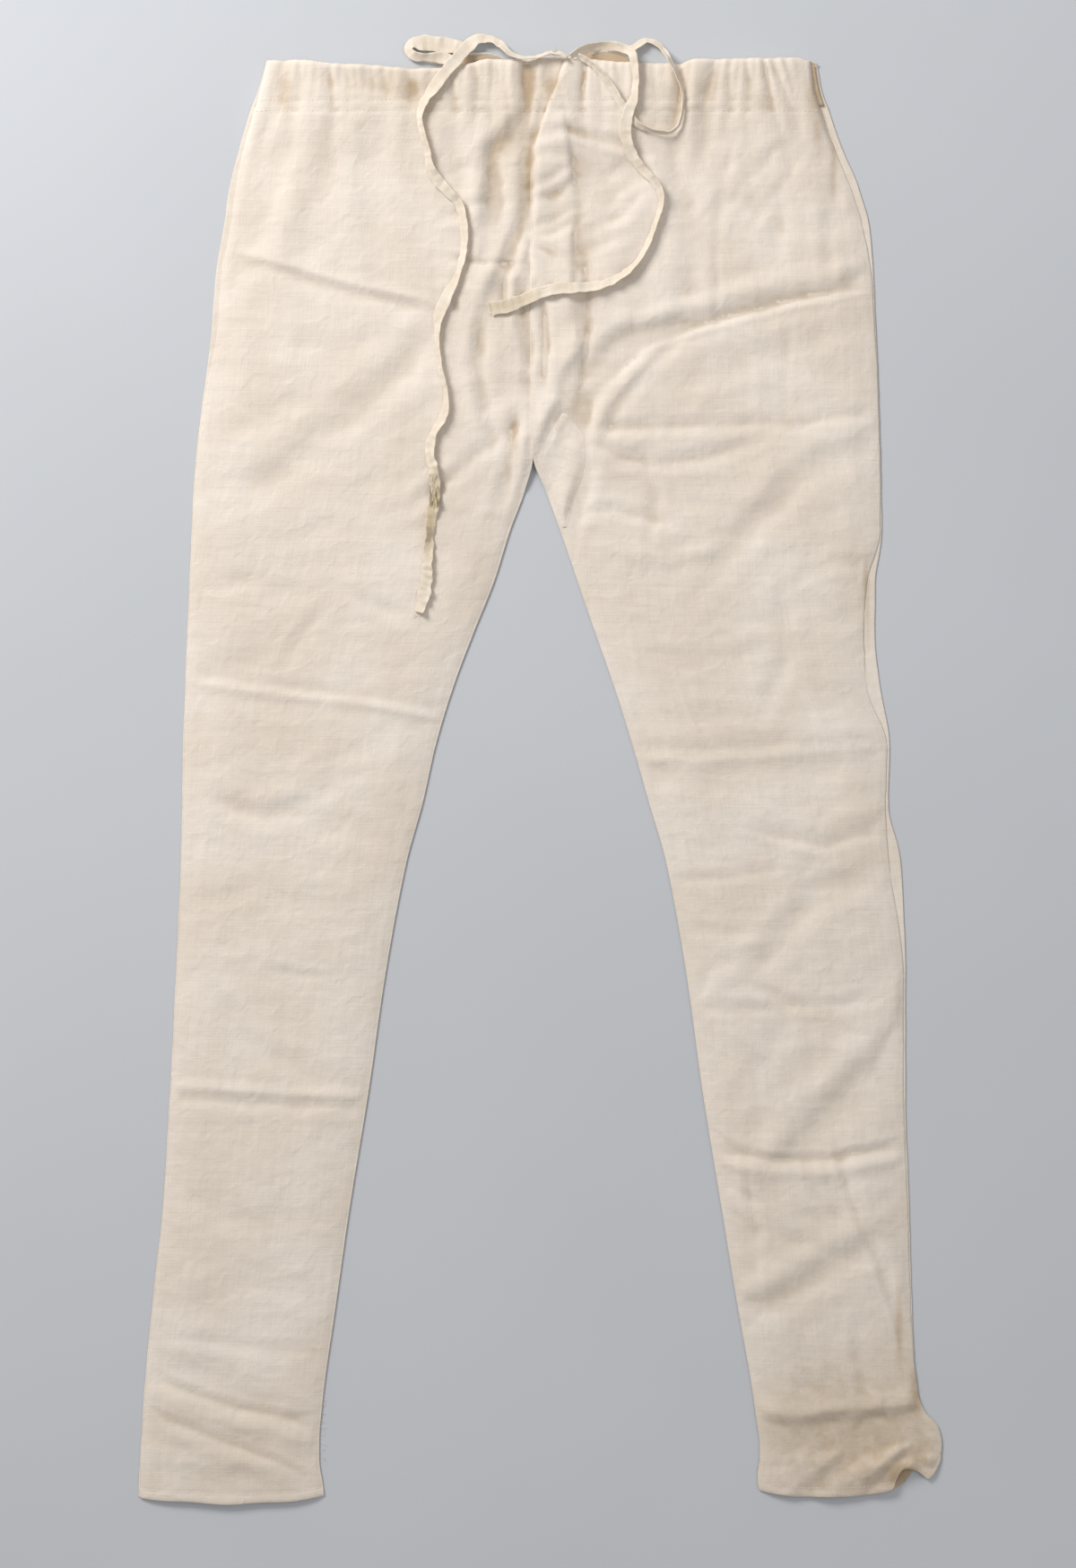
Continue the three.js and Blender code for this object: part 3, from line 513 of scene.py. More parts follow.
@dataclass(frozen=True)
class Crease:
    """One fold of the cloth, along a route, with raised or sunken shoulders on its two sides."""

    height: float
    width: float
    power: float
    skew: float
    route: tuple[tuple[float, float], ...]
    seed: int

    def lift(self, across: Array, down: Array) -> Array:
        """Height that the crease adds.

        The profile is exp(-d^power), with d the distance from the route in half widths, blunted
        by 0.9 mm at the route, less a fifth of a bump two half widths out. The ends fade over
        3.5 half widths. A rounded fold's route wanders by up to two sevenths of the half width,
        and its height varies by a third along it; a crisp one's do so by half as much.

        Args:
            across: Places across.
            down: Places down.

        Returns:
            The added height.
        """
        points = np.array(self.route, float)
        margin = 7.0 * self.width * max(self.skew, 1.0 / self.skew)
        lowest, highest = points.min(axis=0) - margin, points.max(axis=0) + margin
        near = ((across > lowest[0]) & (across < highest[0])
                & (down > lowest[1]) & (down < highest[1]))
        result = np.zeros(np.shape(across))
        if not near.any():
            return result
        x, y = across[near], down[near]
        best = np.full(x.shape, np.inf)
        aside = np.zeros(x.shape)
        beyond = np.zeros(x.shape)
        along = np.zeros(x.shape)
        walked = 0.0
        last = len(points) - 2
        for k in range(len(points) - 1):
            step = points[k + 1] - points[k]
            length = float(np.hypot(*step))
            ux, uy = step / length
            run = (x - points[k, 0]) * ux + (y - points[k, 1]) * uy
            off = (x - points[k, 0]) * uy - (y - points[k, 1]) * ux
            held = np.clip(run, 0.0, length)
            over = run - held
            distance = np.hypot(off, over)
            closer = distance < best
            open_end = (over < 0) & (k == 0) | (over > 0) & (k == last)
            best = np.where(closer, distance, best)
            side = np.where(open_end, off, np.copysign(distance, off))
            aside = np.where(closer, side, aside)
            beyond = np.where(closer, np.where(open_end, np.abs(over), 0.0), beyond)
            along = np.where(closer, walked + held, along)
            walked += length
        uneven = 1.0 if self.power > 1.5 else 0.5  # a crisp fold is the evener one
        chance = np.random.default_rng(self.seed)
        phases = chance.uniform(0, 2 * np.pi, 4)
        waves = 2 * np.pi / chance.uniform((28, 60, 34, 75), (44, 90, 50, 110))
        wander = np.sin(along * waves[0] + phases[0]) + np.sin(along * waves[1] + phases[1])
        strength = 1 + 0.2 * uneven * np.sin(along * waves[2] + phases[2])
        strength += 0.15 * uneven * np.sin(along * waves[3] + phases[3])
        aside = aside + 0.14 * uneven * self.width * wander
        aside = aside * np.where(aside > 0, self.skew, 1.0 / self.skew)
        blunt = 0.9 / self.width
        d = np.sqrt((aside / self.width) ** 2 + (beyond / (3.5 * self.width)) ** 2 + blunt ** 2)
        d = d - blunt
        profile = np.exp(-d ** self.power) - 0.2 * bell(d, 0.8, 2.1)
        result[near] = self.height * strength * profile
        return result


# ---- how the front lies ----

class FrontForm:
    """Height of the upper face of the front over the whole garment."""

    air = 2.4  # height over the back, away from the edges
    dome = 24.0  # width over which the air goes at a free edge
    edge_level = 1.25  # upper face at a free edge
    crease_edge = 7.0  # width over which a crease fades at a free edge
    casing_fade = 44.0
    settled = 0.5  # share of a crease's first height that is left once the cloth has settled

    def __init__(self) -> None:
        """Makes the creases and the seeded rumples."""
        self.creases = [Crease(*crease, 100 + k) for k, crease in enumerate(CREASES)]
        self.broad = Rumple(3, 95, 70)
        self.middle = Rumple(11, 52, 30, 12)
        self.raised = Rumple(13, 62, 34, 9)
        self.sunken = Rumple(17, 40, 50, -24)
        self.ripples = Rumple(23, 24, 13, -8)
        self.crumple = Rumple(31, 11, 8, 20)
        self.hair = Rumple(37, 34, 5.5, 3)
        self.drape = Rumple(43, 17, 120, -3)
        self.pucker = Rumple(41, 60, 6.5)

    def edge_distance(self, across: Array, down: Array) -> Array:
        """Distance across to the nearest free edge; the centre seam isn't one.

        Args:
            across: Places across.
            down: Places down.

        Returns:
            The distance, or 0 beyond an edge.
        """
        outer = np.minimum(across - EDGES["left_front"](down), EDGES["right_front"](down) - across)
        inner = np.where(across < CENTRE_SEAM, EDGES["left_inner"](down) - across,
                         across - EDGES["right_inner"](down))
        crotch_clear = np.maximum(0.0, CROTCH_DOWN + self.dome - down)
        return np.maximum(0.0, np.minimum(outer, np.maximum(inner, crotch_clear)))

    def floor(self, down: Array) -> Array:
        """Lowest height of the underside, which rises over the turned edges in the casing."""
        return LAYER + 2 * LAYER * (1 - ease((down - CASING_DEPTH) / self.casing_fade))

    def gathers(self, across: Array, down: Array) -> Array:
        """Height that the gathers take away.

        Each is a trough exp(-s^1.6), s being the distance aside in four fifths of its width,
        which widens by a hundred-and-twentieth a millimetre, and it fades as exp(-r^2), r being
        the distance down in 1.15 of its reach. A narrow groove beside it fades sooner.

        Args:
            across: Places across.
            down: Places down.

        Returns:
            The height.
        """
        total = np.zeros(np.shape(across))
        for k, (place, width, depth, reach, lean) in enumerate(GATHERS):
            spread = width * (1 + down / 120)
            wander = 1.2 * np.sin(down / 9.0 + 2.1 * k)
            aside = (across - place - lean * down + wander) / (0.8 * spread)
            fade = bell(down, 1.15 * reach)
            # deepest at the left end and to the left of the centre
            deep = 1.2 if -168 < place < -55 else 1.7 if place < -10 else 1.3
            total += deep * depth * fade * np.exp(-np.abs(aside) ** 1.6)
            pleat = (across - place - 5.6 - 0.7 * math.sin(5.0 * k) - lean * down) / (0.4 * spread)
            total += 1.1 * bell(down, 0.65 * reach) * bell(pleat, 1)
        return total

    def rumples(self, across: Array, down: Array) -> Array:
        """Seeded unevenness: sags, thin raised and sunken lines, ripples, and hanging folds.

        A line is the cube of one less the size of a noise, so it runs where that noise is nought.
        The hanging folds are long and narrow, and fade out as exp(-(down / 190)^2).

        Args:
            across: Places across.
            down: Places down.

        Returns:
            The added height.
        """
        rough = 0.8 + 0.3 * ease((across + 40) / 60) + 0.35 * ease((down - 900) / 60)
        rough += 0.25 * bell(down, 110, 240) * bell(across, 130)
        sags = 0.6 * self.broad(across, down) + 0.42 * self.middle(across, down)
        lines = 0.26 * (1 - np.abs(self.raised(across, down))) ** 3
        lines -= 0.3 * (1 - np.abs(self.sunken(across, down))) ** 3
        fine = 0.27 * self.ripples(across, down) + 0.12 * self.crumple(across, down)
        hang = 0.75 * self.drape(across, down) * bell(down, 190)
        return (sags + lines + fine + 0.07 * self.hair(across, down)) * rough + hang

    def seams(self, across: Array, down: Array, near: Array) -> Array:
        """Grooves of the casing's stitching, and puckers along the seams of the free edges.

        A groove is a bell across it, and a pucker is seeded noise within a bell along the seam.

        Args:
            across: Places across.
            down: Places down.
            near: Distances to the nearest free edge.

        Returns:
            The added height.
        """
        pull = 0.6 + 0.4 * np.sin(across / 2.3 + 1.4 * np.sin(across / 11.0))
        upper, lower = CASING_STITCHES
        rows = 0.85 * bell(down, 1.3, lower)
        rows += 0.5 * bell(down, 1.2, upper)
        tight = 0.5 * self.pucker(across, down) * bell(near, 4.0, 5.0)
        seam = 0.3 * bell(near, 1.0, 7.5) * ease((down - 60) / 40)
        return tight - rows * pull - seam

    def top(self, across: Array, down: Array) -> Array:
        """Height of the upper face.

        The relief is the air and the rumples less the gathers, faded at the free edges, plus the
        creases. A smooth maximum, half the sum of it and the root of its square and a little,
        holds it above nought. It stands on the layers beneath, and the whole rolls down at the
        free edges as one less exp(-(distance / reach)^1.8).

        Args:
            across: Places across.
            down: Places down.

        Returns:
            The height above the surface, in millimetres.
        """
        across, down = np.broadcast_arrays(np.asarray(across, float), np.asarray(down, float))
        near = self.edge_distance(across, down)
        relief = self.air + 2.2 * bell(down, 80) - self.gathers(across, down)
        relief = relief + self.rumples(across, down) + self.seams(across, down, near)
        # creases keep more of their height at the centre front, the right shin and its ankle
        kept = self.settled + 0.3 * np.exp(-((across - 8) / 90) ** 2 - ((down - 140) / 130) ** 2)
        kept = kept + 0.15 * ease(across / 40) * ease((down - 700) / 120)
        kept = kept + 0.35 * np.exp(-((across - 250) / 32) ** 2 - ((down - 968) / 30) ** 2)
        share = 1 - np.exp(-2 * (near / self.dome) ** 2)
        relief = relief * share
        kept = kept * (1 - np.exp(-2 * (near / self.crease_edge) ** 2))
        for crease in self.creases:
            relief = relief + kept * crease.lift(across, down)
        relief = 0.5 * (relief + np.sqrt(relief * relief + 0.9 * share * share))
        lower = 1 - 0.4 * ease((down - 978) / 24)
        reach = 1.6 + 2.2 * ease((down - CASING_DEPTH) / 60)
        rolled = 1 - np.exp(-((near / reach) ** 1.8))
        level = self.floor(down) + 1.0
        bevel = 0.35 * bell(near, 0.4)
        return self.edge_level + (level - self.edge_level) * rolled + relief * lower - bevel


# ---- mesh making ----

def make_mesh(name: str, points: Array, polygons: Sequence[Array], uv: Array | None = None,
              values: dict[str, Array] | None = None) -> Piece:
    """A smooth-shaded mesh object at the origin.

    Args:
        name: The object's name.
        points: Its points in metres, one a row.
        polygons: Arrays of point numbers, one polygon a row, all of one array with equal sides.
        uv: A place on the cloth for each point, in metres.
        values: Numbers for each point, by name, for the material.

    Returns:
        The object, linked to the scene.
    """
    mesh = bpy.data.meshes.new(name)
    corners = np.concatenate([faces.ravel() for faces in polygons]).astype(np.int32)
    sizes = np.concatenate([np.full(len(faces), faces.shape[1]) for faces in polygons])
    starts = np.concatenate([[0], np.cumsum(sizes)[:-1]]).astype(np.int32)
    mesh.vertices.add(len(points))
    mesh.vertices.foreach_set("co", points.astype(np.float32).ravel())
    mesh.loops.add(len(corners))
    mesh.loops.foreach_set("vertex_index", corners)
    mesh.polygons.add(len(starts))
    mesh.polygons.foreach_set("loop_start", starts)
    mesh.polygons.foreach_set("use_smooth", np.ones(len(starts), bool))
    mesh.update(calc_edges=True)
    if uv is not None:
        layer = mesh.uv_layers.new(name="UVMap")
        layer.data.foreach_set("uv", uv[corners].astype(np.float32).ravel())
    for key, numbers in (values or {}).items():
        attribute = mesh.attributes.new(key, "FLOAT", "POINT")
        attribute.data.foreach_set("value", numbers.astype(np.float32).ravel())
    made = bpy.data.objects.new(name, mesh)
    bpy.context.scene.collection.objects.link(made)
    return made


def shell_polygons(rows: int, columns: int, skip: int = 1) -> list[Array]:
    """Faces of a closed shell of an upper grid and a lower one, wound so that they face outwards.

    Args:
        rows: Rows of the upper grid.
        columns: Its columns.
        skip: The lower grid has every skip-th row and column of the upper one, so a face of
            the rim has skip + 3 corners.

    Returns:
        The faces, as arrays of point numbers, the lower grid's after the upper one's.
    """
    top = np.arange(rows * columns).reshape(rows, columns)
    low_rows, low_columns = (rows - 1) // skip + 1, (columns - 1) // skip + 1
    low = np.arange(low_rows * low_columns).reshape(low_rows, low_columns) + rows * columns

    def quads(a: Array, b: Array, c: Array, d: Array) -> Array:
        """Faces from four grids of corners."""
        return np.stack([a.ravel(), b.ravel(), c.ravel(), d.ravel()], axis=1)

    def rim(upper: Array, lower: Array) -> Array:
        """Faces between the same edge of both grids."""
        walk = upper[np.arange(len(lower) - 1)[:, None] * skip + np.arange(skip + 1)]
        return np.concatenate([walk, lower[1:, None], lower[:-1, None]], axis=1)

    return [
        quads(top[:-1, :-1], top[1:, :-1], top[1:, 1:], top[:-1, 1:]),
        quads(low[:-1, :-1], low[:-1, 1:], low[1:, 1:], low[1:, :-1]),
        rim(top[:, -1], low[:, -1]), rim(top[::-1, 0], low[::-1, 0]),
        rim(top[0], low[0]), rim(top[-1, ::-1], low[-1, ::-1]),
    ]


def shell(name: str, upper: Array, lower: Array, uv: Array, hollow: Sequence[Array | float],
          stain: Sequence[Array | float], skip: int = 1) -> Piece:
    """A closed shell of cloth between two grids of points.

    Args:
        name: The object's name.
        upper: The upper face's points, in metres.
        lower: The lower face's, which has every skip-th row and column of the upper one.
        uv: Places on the cloth of the upper face's points, in metres.
        hollow: How deep in hollows the points of the upper face and of the lower one lie, which sets
            their painted shade.
        stain: How much stain and painted shade they have.
        skip: The step between the columns that the lower face shares with the upper one.

    Returns:
        The object.
    """
    def both(faces: Sequence[Array | float]) -> Array:
        """A number for each point of the upper face and then of the lower one."""
        return np.concatenate([np.broadcast_to(face, grid.shape[:2]).ravel()
                               for face, grid in zip(faces, (upper, lower))])

    points = np.concatenate([upper.reshape(-1, 3), lower.reshape(-1, 3)])
    places = np.concatenate([uv.reshape(-1, 2), uv[::skip, ::skip].reshape(-1, 2)])
    return make_mesh(name, points, shell_polygons(*upper.shape[:2], skip), places,
                     {"hollow": both(hollow), "stain": both(stain)})


def grid_normals(points: Array) -> Array:
    """Unit normals of a grid of points whose rows run towards -Y and columns towards +X.

    A normal is the cross product of the grid's central differences along its two ways.

    Args:
        points: The grid.

    Returns:
        The normals, in the grid's shape.
    """
    along = np.gradient(points, axis=1)
    back = -np.gradient(points, axis=0)
    normal = np.cross(along, back)
    return normal / np.maximum(np.linalg.norm(normal, axis=-1, keepdims=True), 1e-12)


def box_blur(grid: Array, reach: int) -> Array:
    """Mean of a grid over squares of 2 reach + 1 cells, by running sums along both ways.

    Args:
        grid: The numbers.
        reach: Cells to each side of the middle one.

    Returns:
        The means, in the grid's shape; the edge's numbers are repeated beyond it.
    """
    for axis in (0, 1):
        wide = np.pad(grid, [(reach + 1, reach) if a == axis else (0, 0) for a in (0, 1)], "edge")
        sums = np.cumsum(wide, axis=axis)
        size = 2 * reach + 1
        grid = (np.take(sums, range(size, sums.shape[axis]), axis)
                - np.take(sums, range(sums.shape[axis] - size), axis)) / size
    return grid


def stain_and_shade_strength(across: Array, down: Array) -> Array:
    """Sum of the soft spots of stain and painted shade, each exp(-r^2) with r in its radii, held to 1.

    Args:
        across: Places across.
        down: Places down.

    Returns:
        The strength, from 0 to 1.
    """
    total = np.zeros(np.shape(across))
    for x, y, wide, tall, strength in STAINS_AND_SHADE:
        total += strength * np.exp(-((across - x) / wide) ** 2 - ((down - y) / tall) ** 2)
    return np.clip(total, 0.0, 1.0)


def hollow_shade_share(across: Array, down: Array) -> Array:
    """How much painted shade a hollow adds to the stain value: most at the centre front, some in the
    casing, little elsewhere.

    Args:
        across: Places across.
        down: Places down.

    Returns:
        The share, from 0.1 to 0.75.
    """
    centre = bell(across, 46, 4) * (1 - ease((down - 230) / 80))
    casing = 0.6 * (1 - ease((down - 24) / 60))
    return np.maximum(0.1, np.maximum(0.75 * centre, casing))


def edge_shares(inner: int) -> Array:
    """Shares from 0 to 1 across a panel, close together at both edges."""
    near = np.array([0.0, 0.002, 0.005, 0.010, 0.016])
    return np.concatenate([near, np.linspace(0.024, 0.976, inner), 1 - near[::-1]])


def tubes(name: str, rings: Array, uv: Array | None = None,
          values: dict[str, Array] | None = None) -> Piece:
    """One mesh of closed tubes.

    Args:
        name: The object's name.
        rings: Points in metres, by tube, ring along it and corner round it. Seen from the far
            end of a tube, its corners turn anticlockwise.
        uv: A place for each point, or None.
        values: Numbers for each point, by name.

    Returns:
        The object.
    """
    count, length, sides, _ = rings.shape
    number = np.arange(count * length * sides).reshape(count, length, sides)
    ahead = np.roll(number, -1, axis=2)
    walls = np.stack([number[:, :-1], ahead[:, :-1], ahead[:, 1:], number[:, 1:]], axis=-1)
    caps = np.concatenate([number[:, 0, ::-1], number[:, -1]])
    return make_mesh(name, rings.reshape(-1, 3), [walls.reshape(-1, 4), caps],
                     None if uv is None else uv.reshape(-1, 2), values)


# ---- finishes ----

class Wire:
    """An output socket that takes part in arithmetic; an expression adds its Math nodes."""

    def __init__(self, bench: "Bench", socket: bpy.types.NodeSocket) -> None:
        """Holds the socket and the bench that adds nodes after it."""
        self.bench = bench
        self.socket = socket

    def _math(self, operation: str, first: "Wire | float", second: "Wire | float") -> "Wire":
        """A Math node of two values."""
        return self.bench.out("ShaderNodeMath", {"operation": operation}, {0: first, 1: second})

    def __add__(self, other: "Wire | float") -> "Wire":
        """Sum."""
        return self._math("ADD", self, other)

    __radd__ = __add__

    def __mul__(self, other: "Wire | float") -> "Wire":
        """Product."""
        return self._math("MULTIPLY", self, other)

    __rmul__ = __mul__

    def __sub__(self, other: "Wire | float") -> "Wire":
        """Difference."""
        return self._math("SUBTRACT", self, other)

    def __rsub__(self, other: "Wire | float") -> "Wire":
        """Difference from a number."""
        return self._math("SUBTRACT", other, self)

    def __truediv__(self, other: "Wire | float") -> "Wire":
        """Quotient."""
        return self._math("DIVIDE", self, other)

    def __abs__(self) -> "Wire":
        """Size without sign."""
        return self._math("ABSOLUTE", self, 0.0)

    def sine(self) -> "Wire":
        """Sine of an angle."""
        return self._math("SINE", self, 0.0)

    def limited(self, low: float, high: float) -> "Wire":
        """0 at low, 1 at high, smooth between."""
        return self.bench.out("ShaderNodeMapRange", {"interpolation_type": "SMOOTHSTEP"},
                              {"Value": self, "From Min": low, "From Max": high})


class Bench:
    """The node tree of one material, and the nodes that are added to it."""

    def __init__(self, name: str) -> None:
        """Makes an empty material.

        Args:
            name: Its name.
        """
        self.material = bpy.data.materials.new(name)
        self.material.use_nodes = True
        self.tree = self.material.node_tree
        self.tree.nodes.clear()

    def add(self, kind: str, settings: dict, inputs: dict) -> bpy.types.Node:
        """Adds a node.

        Args:
            kind: The node's type.
            settings: Its settings, set first; "stops" are a ramp's (position, colour) pairs.
            inputs: A value or a Wire for each input socket, by name or number.

        Returns:
            The node.
        """
        node = self.tree.nodes.new(kind)
        for key, value in settings.items():
            if key == "stops":
                ramp = node.color_ramp
                while len(ramp.elements) < len(value):
                    ramp.elements.new(1.0)
                for element, (place, colour) in zip(ramp.elements, value):
                    element.position, element.color = place, colour
            else:
                setattr(node, key, value)
        for key, value in inputs.items():
            if isinstance(value, Wire):
                self.tree.links.new(value.socket, node.inputs[key])
            else:
                node.inputs[key].default_value = value
        return node

    def out(self, kind: str, settings: dict, inputs: dict, output: int | str = 0) -> Wire:
        """Adds a node and gives one of its outputs."""
        return Wire(self, self.add(kind, settings, inputs).outputs[output])

    def parts(self, place: Wire) -> tuple[Wire, Wire]:
        """The first two numbers of a vector."""
        split = self.add("ShaderNodeSeparateXYZ", {}, {0: place})
        return Wire(self, split.outputs[0]), Wire(self, split.outputs[1])

    def on_cloth(self) -> tuple[Wire, Wire]:
        """The place on the piece's own UV map, in millimetres."""
        u, v = self.parts(self.out("ShaderNodeUVMap", {"uv_map": "UVMap"}, {}))
        return u * 1000.0, v * 1000.0

    def place(self, x: Wire | float, y: Wire | float, z: Wire | float = 0.0) -> Wire:
        """A vector of three values."""
        return self.out("ShaderNodeCombineXYZ", {}, {0: x, 1: y, 2: z})

    def noise(self, place: Wire, scale: float = 1.0, detail: float = 2.0,
              roughness: float = 0.5) -> Wire:
        """Smooth noise from 0 to 1 at a place."""
        return self.out("ShaderNodeTexNoise", {}, {
            "Vector": place, "Scale": scale, "Detail": detail, "Roughness": roughness})

    def cells(self, place: Wire, scale: float) -> Wire:
        """Distance from a place to the nearest of scattered points."""
        return self.out("ShaderNodeTexVoronoi", {"feature": "F1"},
                        {"Vector": place, "Scale": scale}, "Distance")

    def mix(self, share: Wire, first: Wire | Colour, second: Wire | Colour) -> Wire:
        """A colour between two."""
        return self.out("ShaderNodeMix", {"data_type": "RGBA"},
                        {0: share, 6: first, 7: second}, 2)

    def toned(self, colour: Wire, tone: Wire) -> Wire:
        """A colour made lighter or darker."""
        return self.out("ShaderNodeVectorMath", {"operation": "SCALE"},
                        {0: colour, "Scale": tone})

    def held(self, name: str) -> Wire:
        """A number that the mesh holds for each point."""
        return self.out("ShaderNodeAttribute", {"attribute_name": name}, {}, "Fac")

    def finish(self, shader: dict, bump: Wire, strength: float, distance: float) -> None:
        """Ends the tree in a Principled shader with a Bump.

        Args:
            shader: Values or Wires for the shader's sockets, by name.
            bump: The relief, as a height.
            strength: The bump's strength.
            distance: Its full height, in metres.
        """
        normal = self.out("ShaderNodeBump", {}, {
            "Strength": strength, "Distance": distance, "Height": bump})
        surface = self.out("ShaderNodeBsdfPrincipled", {}, {**shader, "Normal": normal})
        self.add("ShaderNodeOutputMaterial", {}, {"Surface": surface})


@dataclass(frozen=True)
class Cotton:
    """Plain-woven unbleached cotton: uneven threads, flecks, tan painted as shade in its folds, and
    stains with more painted shade.
    """

    name: str
    light: Colour
    shade: Colour
    fleck_and_shade_tan: Colour
    stain: Colour
    pitch: float = 0.85  # from one thread to the next
    bump: float = 0.5

    def material(self) -> Material:
        """Builds the material on the cloth's own UV map.

        Returns:
            The material.
        """
        bench = Bench(self.name)
        u, v = bench.on_cloth()
        flat = bench.place(u, v)
        sway = bench.noise(flat, 0.05)
        # thicker places in single threads, and wider bands of them
        warp_slub = bench.noise(bench.place(u * 1.1, v * 0.03), roughness=0.6)
        weft_slub = bench.noise(bench.place(u * 0.028, v * 1.2, 40.0), roughness=0.6)
        wide_warp = bench.noise(bench.place(u * 0.16, v * 0.006, 9.0))
        wide_weft = bench.noise(bench.place(u * 0.005, v * 0.2, 80.0))
        blotch = bench.noise(flat, 0.014, 3.0, 0.55)
        mottle = bench.noise(flat, 0.13, 3.0, 0.6)
        grain = bench.noise(flat, 0.9)
        fleck = bench.noise(bench.place(u * 0.5, v * 0.32, 7.0), detail=1.0)
        bend = bench.noise(flat, 0.07)
        bent = bench.place(u + bend * 16.0, v - bend * 13.0)
        wide_crinkle, crinkle = bench.cells(bent, 0.062), bench.cells(bent, 0.15)
        colour = bench.mix(blotch.limited(0.32, 0.68), self.light, self.shade)
        tone = (1.0 + (warp_slub - 0.5) * 0.14 + (weft_slub - 0.5) * 0.14
                + (wide_warp - 0.5) * 0.07 + (wide_weft - 0.5) * 0.07
                + (mottle - 0.5) * 0.07 + (grain - 0.5) * 0.09)
        colour = bench.toned(colour, tone)
        colour = bench.mix(fleck.limited(0.70, 0.80) * 0.35, colour, self.fleck_and_shade_tan)
        # painted shade: the deeper a place lies in a hollow, the more it is tinted tan
        hollow = bench.held("hollow") * (0.55 + mottle * 0.9)
        colour = bench.mix(hollow.limited(0.0, 1.3), colour, self.fleck_and_shade_tan)
        # the stains, and the shade painted in folds, gaps and hollows
        spots = bench.held("stain") * (0.45 + mottle * 1.1)
        colour = bench.mix(spots.limited(0.02, 1.1), colour, self.stain)
        # plain weave: a warp thread shows on every other crossing, a weft thread on the rest
        across = (u / self.pitch + sway * 2.0) * math.pi
        along = (v / self.pitch + sway * 2.0) * math.pi
        ends, picks = across.sine(), along.sine()
        over = (ends * picks).limited(-0.25, 0.25)
        threads = abs(ends) * over + abs(picks) * (1.0 - over)
        height = (threads * 0.45 + warp_slub * 1.3 + weft_slub * 1.3 + grain * 0.6
                  + mottle * 1.6 + wide_crinkle * 5.5 + crinkle * 2.8)
        bench.finish({
            "Base Color": colour,
            "Roughness": 0.84 + mottle * 0.12,
            "Specular IOR Level": 0.22,
            "Sheen Weight": 0.12,
            "Sheen Roughness": 0.5,
        }, height, self.bump, 0.00018)
        return bench.material


@dataclass(frozen=True)
class Tape:
    """Narrow self-made cotton tape: folded edges, long threads, and an olive stain."""

    name: str
    light: Colour
    shade: Colour
    stain: Colour
    olive: Colour
    rib_pitch: float = 0.75  # from one long thread to the next
    weft_pitch: float = 0.7

    def material(self) -> Material:
        """Builds the material on the tape's own UV map: u across it, v along it.

        Returns:
            The material.
        """
        bench = Bench(self.name)
        u, v = bench.on_cloth()
        flat = bench.place(u, v)
        long_thread = bench.noise(bench.place(u * 1.8, v * 0.06), roughness=0.6)
        cross_thread = bench.noise(bench.place(u * 0.1, v * 1.5, 20.0), detail=1.0)
        blotch = bench.noise(flat, 0.06, 3.0, 0.6)
        mottle = bench.noise(flat, 0.35)
        colour = bench.mix(blotch.limited(0.3, 0.7), self.light, self.shade)
        tone = 1.0 + (long_thread - 0.5) * 0.1 + (cross_thread - 0.5) * 0.08 + (mottle - 0.5) * 0.08
        colour = bench.toned(colour, tone)
        # the stains, and the shade painted along the tape's middle
        spots = bench.held("stain") * (0.4 + mottle * 1.2)
        colour = bench.mix(spots.limited(0.0, 1.1), colour, self.stain)
        streak = bench.noise(bench.place(u * 0.9, v * 0.16, 60.0), roughness=0.6)
        olive = bench.held("olive") * (streak * 3.0 - 0.75)
        colour = bench.mix(olive.limited(0.2, 1.1), colour, self.olive)
        ribs = abs((u * (math.pi / self.rib_pitch)).sine())
        weft = abs((v * (math.pi / self.weft_pitch)).sine())
        wrinkle = bench.noise(bench.place(u * 0.12, v * 0.42, 33.0))
        height = ribs * 0.4 + weft * 0.3 + long_thread + mottle * 0.8 + wrinkle * 3.0
        bench.finish({
            "Base Color": colour,
            "Roughness": 0.82 + mottle * 0.12,
            "Specular IOR Level": 0.25,
            "Sheen Weight": 0.12,
            "Sheen Roughness": 0.5,
        }, height, 0.5, 0.00018)
        return bench.material


@dataclass(frozen=True)
class Thread:
    """Two-ply cotton sewing thread."""

    name: str
    light: Colour
    shade: Colour
    ply_pitch: float = 0.0004  # in metres

    def material(self) -> Material:
        """Builds the material on Object coordinates, with the plies as slanting ridges.

        Returns:
            The material.
        """
        bench = Bench(self.name)
        where = bench.out("ShaderNodeTexCoord", {}, {}, "Object")
        patch = bench.noise(where, 60.0)
        fuzz = bench.noise(where, 2500.0)
        x, y = bench.parts(where)
        ply = abs(((x + y) * (math.pi / self.ply_pitch)).sine())
        colour = bench.mix(patch.limited(0.3, 0.7), self.light, self.shade)
        # painted highlight: the crests of the plies are toned lighter
        colour = bench.toned(colour, 0.92 + ply * 0.1 + fuzz * 0.06)
        bench.finish({
            "Base Color": colour,
            "Roughness": 0.78 + fuzz * 0.15,
            "Specular IOR Level": 0.3,
            "Sheen Weight": 0.1,
        }, ply + fuzz * 0.6, 0.4, 0.0001)
        return bench.material


@dataclass(frozen=True)
class PaleFloor:
    """A plain pale matt surface with barely visible unevenness."""

    name: str = "pale_floor"
    colour: Colour = srgb(206, 209, 214)

    def material(self) -> Material:
        """Builds the material on Object coordinates.

        Returns:
            The material.
        """
        bench = Bench(self.name)
        where = bench.out("ShaderNodeTexCoord", {}, {}, "Object")
        cloud = bench.noise(where, 3.0, 3.0)
        grain = bench.noise(where, 400.0)
        base = bench.mix(cloud.limited(0.3, 0.7), self.colour,
                         tuple(0.97 * part for part in self.colour[:3]) + (1.0,))
        bench.finish({"Base Color": base, "Roughness": 0.85, "Specular IOR Level": 0.2},
                     grain, 0.08, 0.0002)
        return bench.material


# ---- cloth ----

